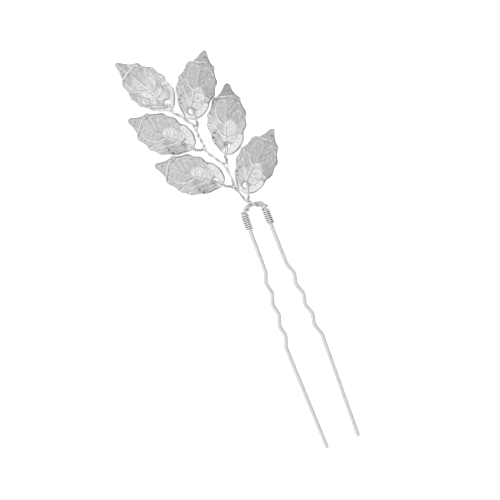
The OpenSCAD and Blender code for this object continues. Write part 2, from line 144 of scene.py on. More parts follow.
NOSES = {
    "short": [
        (14.7, -3.3, 14.85, 3.65, 14.9), (15.25, -2.7, 15.1, 3.3, 15.2), (15.9, -1.95, 15.75, 2.45, 15.85),
        (16.65, -1.5, 16.6, 1.8, 16.65), (17.5, -1.15, 17.5, 1.25, 17.5), (18.35, -0.85, 18.35, 0.9, 18.35),
        (18.9, -0.5, 18.85, 0.6, 18.85), (19.15, -0.15, 19.15, 0.3, 19.15),
    ],
    "long": [
        (14.7, -3.5, 14.85, 3.8, 15), (15.25, -3.05, 15.25, 3.55, 15.4), (15.95, -2.35, 15.9, 2.65, 16),
        (16.75, -1.75, 16.75, 1.95, 16.8), (17.7, -1.25, 17.7, 1.4, 17.75), (18.6, -0.95, 18.6, 0.9, 18.65),
        (19.3, -0.75, 19.25, 0.5, 19.3), (19.65, -0.4, 19.65, 0.1, 19.65),
    ],
}

# Leaves: place of the heel, direction, roll and slope of the nose in degrees, size, place where the
# wire leaves the heel, its heel and nose, and the chart of the relief
Leaf = namedtuple("Leaf", "x y direction roll nose_slope size exit heel nose chart")
LEAVES = [
    Leaf(-10.61, 32.91, 120.8, 1, 9, 1.0, (-0.6, -0.1), "pointed", "long", "C"),
    Leaf(-7.75, 28.8, 56.0, 3, 28, 1.02, (2.1, 0.15), "middling", "short", "B"),
    Leaf(-9.39, 21.12, 136.5, 5, 25, 1.01, (-0.3, -0.2), "broad", "short", "A"),
    Leaf(-1.55, 16.44, 68.9, 5, 25, 1.01, (-0.3, -0.2), "broad", "short", "A"),
    Leaf(-5.42, 9.03, 144.1, 5, 25, 1.01, (-0.3, -0.2), "broad", "short", "A"),
    Leaf(-1.5, 5.38, 42.3, 3, 28, 1.02, (2.1, 0.15), "middling", "short", "B"),
]

# Stem, and its height at the foot and at the top
STEM = [
    (-1.0, 1.95), (-1.5, 3.6), (-2.08, 5.5), (-2.62, 7.0), (-2.6, 8.4), (-2.52, 9.8), (-2.66, 11.3),
    (-2.78, 12.7), (-3.14, 13.9), (-3.98, 15.1), (-5.12, 16.9), (-6.02, 18.2), (-6.38, 19.5), (-6.4, 21.2),
    (-6.75, 23.4), (-6.7, 25.3), (-7.12, 26.8), (-8.2, 28.34), (-9.3, 30.14),
]
STEM_Z = (1.3, 2.1)
# Branches: place in STEM, leaf, side of the stem, a place on the way, and length of the fork.
# Along a share of the fork, FORK_HOLD, the stem's own pair doesn't turn.
Branch = namedtuple("Branch", "foot leaf side way fork")
BRANCHES = [
    Branch(0, 6, "right", (-0.45, 2.75), 0.9),
    Branch(3, 5, "left", (-3.9, 7.8), 0.9),
    Branch(7, 4, "right", (-2.0, 14.6), 1.4),
    Branch(12, 3, "left", (-7.9, 19.75), 0.8),
    Branch(15, 2, "right", (-6.0, 26.2), 1.0),
]
FORK_HOLD = 0.8

# Relief: heights of raised and sunk lines, bosses and pits, half width of a line, and how finely the
# line follows its points
RAISED_H = 0.08
SUNK_H = 0.04
BOSS_H = 0.07
PIT_H = 0.06
LINE_W = 0.13
LINE_PLACES = 3
# Tone: the painted highlight on raised lines and bosses (also on the thin wires), and the share by which
# full strength changes the tone towards it or darkens it with painted shade in sunk lines and pits
HIGHLIGHT_TONE = 0.95
HIGHLIGHT_SHARE = 0.6
SUNK_SHADE_SHARE = 0.5
PIT_SHADE_SHARE = 0.62
MOST_SHADE = 0.9

# Charts of the leaves' relief and of the light and shade painted into their tone, in millimetres of the leaf
# as it is seen from above.
# Areas are tone, softness and outline; their tones are painted light and shade. Raised and sunk lines are
# strength and points, and bosses and pits are x, y, radius and strength.
Chart = namedtuple("Chart", "tone areas raised sunk bosses pits")
CHART_A = Chart(tone=0.49, areas=[
    (0.62, 0.5, (3.1, 5.4), (3.1, 7.2), (4.2, 8.8), (5.2, 8.4), (4.6, 5.6)),
    (0.76, 0.5, (0.2, 3.1), (0.2, 8.7), (1.4, 8.9), (2.3, 8.2), (2.9, 7.2), (3.1, 5.2), (2.2, 2.9)),
    (0.82, 0.3, (-1.2, 0.9), (-0.6, -0.5), (1.2, -0.6), (4.5, 2.6), (4.9, 4.9), (3.4, 5.3), (1.4, 2.4),
     (0.3, 1.1)),
    (0.64, 0.5, (-1.3, 3.2), (-1.9, 5.8), (-0.9, 5.2), (-0.2, 8.2), (0.2, 8.2), (0.2, 3.1)),
    (0.57, 0.8, (-5, 8), (-4.6, 6), (-3.4, 6), (-2.2, 7.6), (-1.2, 8.2), (-3.4, 9.4)),
    (0.45, 0.6, (-2, 6.6), (-2.3, 7.6), (-1.2, 7.7), (-0.8, 6.4)),
    (0.42, 0.6, (-2.4, 5.3), (-2.5, 4.2), (-1.5, 3.4), (-1, 3.9), (-1.8, 5.3)),
    (0.5, 0.8, (3.6, 13.2), (3.9, 10.2), (4.8, 9.2), (5.6, 9), (5.6, 11.5), (4, 14)),
    (0.45, 0.3, (-2.6, 15.3), (2.4, 15.6), (1.2, 17.6), (0.6, 19.2), (-0.6, 19.2), (-1.3, 17.2)),
], raised=[
    (1.3, (-2.9, 14.9), (-2, 15.05), (-1, 15.18), (0, 15.25), (1, 15.32), (1.7, 15.35)),
    (0.5, (-0.1, 3.2), (-0.1, 6), (-0.1, 8.6)),
    (0.3, (0, 9), (0.05, 11.5), (0.1, 13.8)),
    (0.6, (-0.1, -0.3), (0.05, 0.5), (0.1, 1.1)),
    (1, (-0.6, 7.6), (-1.2, 8.1), (-1.75, 8.7), (-2.2, 9.4), (-2.6, 10.1)),
    (0.7, (-2.6, 10.1), (-2.75, 11), (-2.78, 12), (-2.7, 12.9), (-2.4, 13.7), (-2.05, 14.4)),
    (0.9, (-0.35, 4.3), (-0.9, 4.8), (-1.4, 5.35), (-1.9, 5.95), (-2.4, 6.6), (-2.8, 7.2), (-3.5, 7.65)),
    (0.7, (-1.2, 3.1), (-1.6, 3.6), (-2.2, 4.4), (-2.8, 5.1)),
    (0.8, (-1.1, 1.1), (-1.6, 1.7), (-2.3, 2.5), (-2.6, 2.95)),
    (0.6, (-0.9, 2.1), (-1.5, 2.8), (-2.2, 3.6)),
    (1.3, (-4.9, 10.65), (-4.45, 10.15), (-3.8, 9.75)),
    (1.1, (-4.85, 7.9), (-4.5, 7.65), (-4.15, 7.35)),
    (1, (-3.2, 14.25), (-3.3, 13.7)),
    (1, (-0.85, 14.35), (-0.55, 14.1), (-0.3, 13.9)),
    (0.6, (0.8, 12.6), (1.05, 13.3), (1.35, 13.95)),
    (0.6, (0.9, 10.9), (1.5, 11.7), (2.1, 12.5), (2.6, 13.1)),
    (0.6, (1.7, 9.9), (2.2, 10.6), (2.65, 11.2)),
    (0.6, (3.6, 9.2), (3.8, 10), (3.9, 10.9)),
    (0.8, (0.5, 6.5), (1.2, 6.55), (2, 6.95), (2.6, 7.6)),
    (0.5, (3.3, 6.5), (3.25, 5.8), (3.6, 5.5), (4.2, 5.45), (4.35, 6.1), (3.9, 6.5), (3.3, 6.6)),
    (0.5, (0.5, 8.3), (0.4, 7.6), (0.7, 7.1)),
], sunk=[
    (1.2, (0.5, -0.28), (1.2, -0.26), (2.1, 0.2), (3, 1), (3.7, 2), (4.25, 3.1), (4.55, 4.1), (4.5, 5),
     (4.45, 5.7), (4.8, 6.5)),
    (0.6, (4.8, 6.5), (5.15, 7.2), (5.3, 8.2), (5.1, 9.2)),
    (1.1, (5.15, 10.4), (5, 11.2), (4.55, 12), (4.05, 13), (3.5, 13.7), (2.9, 13.95), (2.2, 14.35)),
    (0.7, (2.2, 14.35), (1.7, 14.55)),
    (0.6, (0.42, -0.1), (0.4, 0.5), (0.4, 1.1)),
    (0.4, (0.25, 3.3), (0.25, 5), (0.2, 7), (0.15, 9)),
    (0.8, (-0.3, 3), (0.3, 3.05), (0.9, 2.85), (1.3, 2.5)),
    (0.65, (1.4, 2.45), (2.1, 2.85), (2.7, 3.7), (3.05, 4.6), (3.2, 5.3), (3.05, 6), (3.15, 6.8)),
    (0.5, (3.2, 5.4), (3.9, 5.2), (4.5, 5.1)),
    (0.6, (3.4, 6.85), (4, 6.75), (4.7, 6.5)),
    (0.7, (0.35, 4.5), (1.1, 4.55), (1.9, 4.9), (2.5, 5.4), (2.85, 6)),
    (0.6, (0.5, 6.7), (1.2, 6.8), (1.8, 7.2), (2.4, 7.9)),
    (0.8, (-0.3, 8.05), (-0.8, 8.35), (-1.4, 8.9), (-2, 9.6)),
    (1, (-0.15, 4.75), (-0.6, 4.95), (-1, 5.3)),
    (0.7, (-0.3, 2.95), (-0.8, 3.05), (-1.4, 3.35), (-2, 3.9)),
    (1.2, (-1.7, 1.6), (-2.2, 2.1), (-2.8, 2.7)),
    (0.8, (-0.9, 0.3), (-1.4, 1), (-1.7, 1.6)),
    (0.7, (-4.9, 8.3), (-4.4, 8.1), (-3.9, 7.9)),
    (0.9, (-4.7, 11), (-4.2, 10.6), (-3.6, 10.15)),
    (1.2, (-2.9, 14.4), (-2.2, 14.65), (-1.5, 14.78)),
    (0.7, (-0.2, 14.9), (0.6, 14.95)),
    (0.5, (-2.3, 14.2), (-2.6, 13.6), (-3, 13)),
    (0.7, (2, 15.75), (1.6, 16.35), (1.1, 17.3), (0.8, 17.95), (0.35, 18.45), (-0.3, 18.45), (-0.65, 18.1)),
    (1, (-2.2, 15.45), (-1.8, 15.85), (-1.5, 16.3)),
    (0.25, (0.5, 9.5), (1.1, 10.2), (1.6, 10.9)),
    (0.2, (0.1, 11.6), (0.3, 10.9), (0.35, 10.2), (0.3, 9.6)),
    (0.3, (1.4, 12.1), (1.9, 12.8), (2.4, 13.5)),
    (0.25, (1.9, 11.2), (2.4, 11.8), (3, 12.4)),
    (0.5, (-3.75, 14), (-3.7, 13.2), (-4, 12.2)),
    (0.5, (-3, 5.9), (-2.6, 5), (-2.3, 4.4)),
], bosses=[
    (1.85, 14.2, 0.22, 1), (3.15, 13.5, 0.25, 1), (3.6, 13.2, 0.2, 0.7), (3.3, 11.3, 0.25, 1.2),
    (-2.4, 9.6, 0.2, 0.4), (0.5, 8, 0.35, 0.6), (2.2, 8.5, 0.2, 0.4), (-4.6, 7.7, 0.2, 0.5),
], pits=[
    (-3.05, 5.45, 0.24, 1.5), (-3.35, 4.15, 0.26, 1.7), (-2.6, 6.2, 0.16, 1), (-3.6, 4.5, 0.16, 0.8),
    (-2.7, 3.4, 0.2, 1), (-2.8, 2.65, 0.16, 0.9), (-4.6, 6.55, 0.16, 0.8), (-4.6, 7.2, 0.12, 0.6),
    (0.85, 7.6, 0.18, 0.9), (1.4, 8.05, 0.16, 0.8), (2.3, 7.15, 0.12, 0.6), (2.15, 6.2, 0.14, 0.6),
    (1.15, 5.6, 0.2, 0.7), (1.6, 5.75, 0.16, 0.7), (1.65, 3.85, 0.17, 1.1), (2.2, 4.15, 0.14, 0.7),
    (2.65, 4.8, 0.18, 0.9), (3.55, 4.05, 0.16, 0.7), (3.2, 2.95, 0.17, 0.7), (2.25, 2, 0.17, 0.8),
    (4.25, 7.45, 0.16, 0.7), (3.85, 6, 0.16, 0.6), (4.7, 8, 0.14, 0.5), (-0.35, 6, 0.14, 0.5),
    (-0.6, 14.6, 0.22, 1), (-1.4, 14.3, 0.14, 0.8), (0.1, 14.85, 0.14, 0.6), (-0.65, 16.75, 0.15, 0.6),
    (0.3, 16.85, 0.26, 0.7), (-0.9, 15.6, 0.12, 0.4), (-3.2, 12.4, 0.17, 0.9), (-3.4, 13.3, 0.15, 0.6),
    (-4.75, 10.9, 0.16, 0.9), (-3.2, 10.7, 0.14, 0.7), (-1.5, 13.4, 0.16, 0.9), (-0.95, 13.6, 0.13, 0.7),
    (-1.55, 12.2, 0.16, 0.7), (-0.8, 12, 0.14, 0.7), (-2, 11.8, 0.12, 0.6), (-1.9, 10.8, 0.1, 0.5),
    (-1.3, 11, 0.12, 0.6), (-0.75, 10.8, 0.12, 0.6), (-0.85, 9.75, 0.14, 0.7), (0.3, 10.2, 0.2, 0.8),
    (2.85, 14.75, 0.2, 1), (3, 12.75, 0.2, 0.6), (2.4, 11.3, 0.15, 0.6), (4.3, 9.75, 0.18, 0.9),
    (1.9, 8.9, 0.12, 0.4), (-3.9, 9, 0.12, 0.4), (-3, 9.4, 0.12, 0.4), (-3.6, 11.6, 0.12, 0.4),
])

CHART_B = Chart(tone=0.5, areas=[
    (0.6, 0.5, (3.1, 5.4), (3.1, 6.8), (4.4, 6.6), (4.6, 5.4)),
    (0.74, 0.4, (0.3, 3.1), (0.3, 7), (0.1, 8.5), (1.4, 8.9), (2, 8), (2.9, 7), (3.1, 5.2), (2.2, 2.9)),
    (0.82, 0.3, (1.4, 2.3), (2.3, 0.5), (4.5, 2.8), (4.9, 4.9), (3.4, 5.3)),
    (0.78, 0.3, (-1.2, 1.3), (-0.6, 0.1), (2.3, 0.1), (1.2, 1.6), (0.3, 1)),
    (0.6, 0.6, (-1.3, 3.2), (-2, 5.8), (-0.9, 5.2), (-0.2, 8.2), (0.2, 8.2), (0.2, 3.1)),
    (0.46, 0.7, (-2.2, 6.8), (-2.4, 8.2), (-1.4, 7.9), (-1, 6.7)),
    (0.47, 0.7, (2.2, 9.6), (2.4, 8.1), (3.2, 7), (4.6, 6.7), (5.6, 7.2), (5.4, 10)),
    (0.47, 0.8, (3.9, 12.8), (4.2, 9.6), (5.6, 9), (5.6, 11.5)),
    (0.47, 0.6, (-3.6, 14), (-3.2, 11), (-4.9, 10.9)),
    (0.58, 0.3, (-2.4, 15.6), (2.4, 15.6), (1.2, 17.6), (0.8, 19.2), (-0.6, 19.2), (-1.3, 17.2)),
], raised=[
    (1.2, (-2.2, 15.1), (-1.2, 15.2), (-0.6, 15.22), (0, 15.32), (0.7, 15.45), (1.3, 15.4)),
    (0.6, (-2.9, 15.1), (-2.2, 15.15)),
    (0.5, (0.1, 9), (0.05, 11), (0.05, 13.7)),
    (0.5, (-0.1, 3.3), (-0.1, 5.6), (-0.1, 7.6)),
    (0.6, (0.1, 16), (0.15, 17.2), (0.2, 18.2)),
    (0.9, (-0.15, 7.6), (-0.6, 7.85), (-1.2, 8.3), (-1.9, 8.9)),
    (0.68, (-2, 9.3), (-2.5, 9.8), (-3, 10.05), (-3.45, 9.8), (-3.6, 9.1)),
    (0.6, (-2.6, 11), (-2.72, 12), (-2.6, 13), (-2.3, 13.8), (-1.9, 14.4)),
    (0.8, (-0.6, 4.85), (-1.3, 5.4), (-2, 6), (-2.5, 6.7)),
    (0.6, (-1.2, 3.2), (-1.8, 3.9), (-2.6, 4.9)),
    (0.7, (-1, 1.3), (-1.7, 2), (-2.5, 3)),
    (0.6, (-0.9, 2.3), (-1.5, 3)),
    (1.1, (-3.6, 8.1), (-3.3, 7.9), (-3, 7.65)),
    (0.9, (-4.75, 8.1), (-4.2, 7.8)),
    (0.9, (-4.75, 10.75), (-4.3, 10.3), (-3.9, 10)),
    (0.68, (-0.95, 14.55), (-0.65, 14.25), (-0.4, 14.1)),
    (0.8, (0.4, 6.3), (1.2, 6.7), (2.1, 6.95), (2.7, 6.6), (2.9, 5.9)),
    (0.7, (0.5, 5.1), (1.2, 4.95), (2, 5.1)),
    (0.9, (3.3, 6.6), (3.9, 6.35), (4.4, 6.1)),
    (0.75, (1.35, 13.6), (1.6, 14.1), (1.95, 14.25), (2.3, 13.9)),
    (0.83, (2.8, 13.6), (3.2, 13.5), (3.6, 13.1), (3.9, 12.6)),
    (0.38, (2, 11.2), (2.6, 12.1), (3, 12.6)),
    (0.38, (1, 11.2), (1.5, 12.2), (1.9, 13)),
    (0.45, (3.9, 9.3), (4.05, 10.2), (3.95, 11)),
    (0.38, (2.4, 10.9), (2.5, 10.2), (2.8, 9.6)),
    (0.38, (-3.3, 14.6), (-3.4, 13.9)),
], sunk=[
    (1.3, (2.3, 0.75), (3.2, 1.4), (3.9, 2.4), (4.3, 3.5), (4.5, 4.5), (4.35, 5.3), (4.45, 5.8),
     (4.85, 6.6), (5, 7.2)),
    (0.8, (5, 7.2), (5.25, 8.2), (5.1, 9.3)),
    (0.98, (3.2, 14), (3.5, 13.7), (4, 13.2)),
    (0.75, (4, 13.2), (4.5, 12.1), (5, 11.3), (5.15, 10.4)),
    (1, (-2.8, 2.85), (-2.3, 2.25), (-1.9, 1.8)),
    (0.8, (-1.9, 1.8), (-1.3, 1), (-0.7, 0.3)),
    (0.9, (0.2, 3.05), (-0.45, 2.75), (-0.6, 2.1), (-0.35, 1.5), (0.3, 1.15), (0.9, 1.25)),
    (0.8, (0.3, 3.1), (0.9, 2.85), (1.4, 2.6)),
    (0.8, (1.4, 2.6), (2.1, 2.85), (2.8, 3.8), (3.15, 4.9), (3.3, 5.4)),
    (0.8, (3.3, 5.3), (3.9, 5.2), (4.4, 5.15)),
    (1.1, (3.2, 6.95), (3.9, 6.75), (4.5, 6.4)),
    (0.6, (0.3, 4.6), (1.2, 4.65), (1.9, 4.85), (2.5, 5.4)),
    (0.5, (0.25, 3.3), (0.25, 6.4), (0.15, 9)),
    (0.5, (0.4, 7.1), (1.2, 7.25), (2, 7.6)),
    (0.9, (-0.35, 8.15), (-0.9, 8.45), (-1.5, 9)),
    (0.8, (-0.25, 4.9), (-0.6, 5), (-1.1, 5.4)),
    (0.7, (-0.6, 3.1), (-1.2, 3.4), (-1.9, 3.9)),
    (0.7, (-4.9, 8.4), (-4.3, 8.15), (-3.9, 8)),
    (0.6, (-4.8, 11.1), (-4.2, 10.65), (-3.6, 10.2)),
    (0.68, (-2, 14.75), (-1.4, 14.95)),
    (0.9, (0.2, 15), (1, 15.05)),
    (0.38, (0.35, 13.1), (0.35, 12.2), (0.4, 11.2), (0.45, 10.2)),
    (0.52, (0.45, 10.2), (1, 10.9), (1.5, 11.6)),
    (0.45, (1.1, 9.4), (1.7, 10), (2.1, 10.7)),
    (0.45, (1.9, 12.2), (2.4, 12.8), (2.7, 13.3)),
    (1, (2, 15.8), (1.6, 16.3), (1.2, 17.2)),
    (0.9, (0.7, 18.3), (0.3, 18.55), (-0.3, 18.5)),
    (1, (-2.2, 15.5), (-1.8, 15.85), (-1.6, 16.2)),
    (0.45, (-2.9, 13.2), (-3, 12.2), (-2.9, 11.3)),
    (0.38, (-3.5, 14.1), (-3.4, 13.4), (-3.8, 12.4)),
], bosses=[
    (0.5, 8.2, 0.3, 1), (1.6, 8.35, 0.15, 0.6), (0.3, 7.5, 0.2, 0.6), (3.2, 11.45, 0.2, 1.2),
    (4.35, 11.5, 0.18, 1), (1.45, 10.55, 0.18, 0.9), (2.85, 10.4, 0.18, 0.8), (1.65, 9.4, 0.2, 0.8),
    (2.1, 9.4, 0.16, 0.6), (-1.5, 11.4, 0.18, 0.9), (-1, 10.1, 0.18, 0.8), (4.2, 10.6, 0.13, 0.6),
    (-2, 12.6, 0.15, 0.5), (-1.1, 12.4, 0.13, 0.4), (1.45, 12.4, 0.18, 0.6), (4.6, 10.2, 0.13, 0.5),
    (-3.2, 12.1, 0.15, 0.5), (-1.5, 13.8, 0.13, 0.4), (1.7, 11.2, 0.13, 0.4), (-3.9, 11.9, 0.13, 0.4),
], pits=[
    (-3.35, 4.4, 0.24, 1.5), (-3.1, 5.6, 0.26, 1), (-2.6, 6.3, 0.17, 1), (-2.8, 3.5, 0.24, 1),
    (-4.5, 6.9, 0.25, 0.7), (-3.7, 4.9, 0.15, 0.5), (-0.5, 6.05, 0.16, 0.8), (-1.7, 6.9, 0.25, 0.6),
    (1.1, 5.7, 0.18, 0.9), (1.5, 5.8, 0.16, 0.9), (0.45, 4.8, 0.14, 0.9), (1.5, 3.95, 0.18, 0.9),
    (2.5, 4.8, 0.18, 0.9), (3.5, 4, 0.15, 0.6), (3, 3, 0.17, 0.6), (2.1, 2, 0.17, 0.7),
    (2.15, 6.3, 0.16, 0.7), (3.1, 6.4, 0.15, 0.5), (0.75, 7.6, 0.16, 0.8), (1.3, 8.05, 0.16, 0.9),
    (2.3, 7.2, 0.14, 0.5), (-2.7, 8, 0.2, 0.5), (4.4, 7.7, 0.2, 0.5), (-0.5, 14.6, 0.22, 1.1),
    (0.6, 16.9, 0.32, 1), (2.75, 15, 0.2, 1), (1.1, 9.4, 0.14, 0.7), (2.4, 12.2, 0.14, 0.4),
    (-2.6, 5, 0.2, 0.5), (-2, 5, 0.2, 0.5), (-2.1, 2.4, 0.14, 0.4), (-1.2, 2.4, 0.14, 0.4),
    (-4.8, 10.4, 0.14, 0.7), (-1.9, 10.9, 0.16, 0.4), (-1.4, 9.8, 0.16, 0.4), (3.4, 12.3, 0.16, 0.5),
    (4.8, 11, 0.14, 0.5), (-3.9, 8.8, 0.16, 0.4), (0.4, 12.9, 0.14, 0.6), (2.9, 9.6, 0.12, 0.5),
])

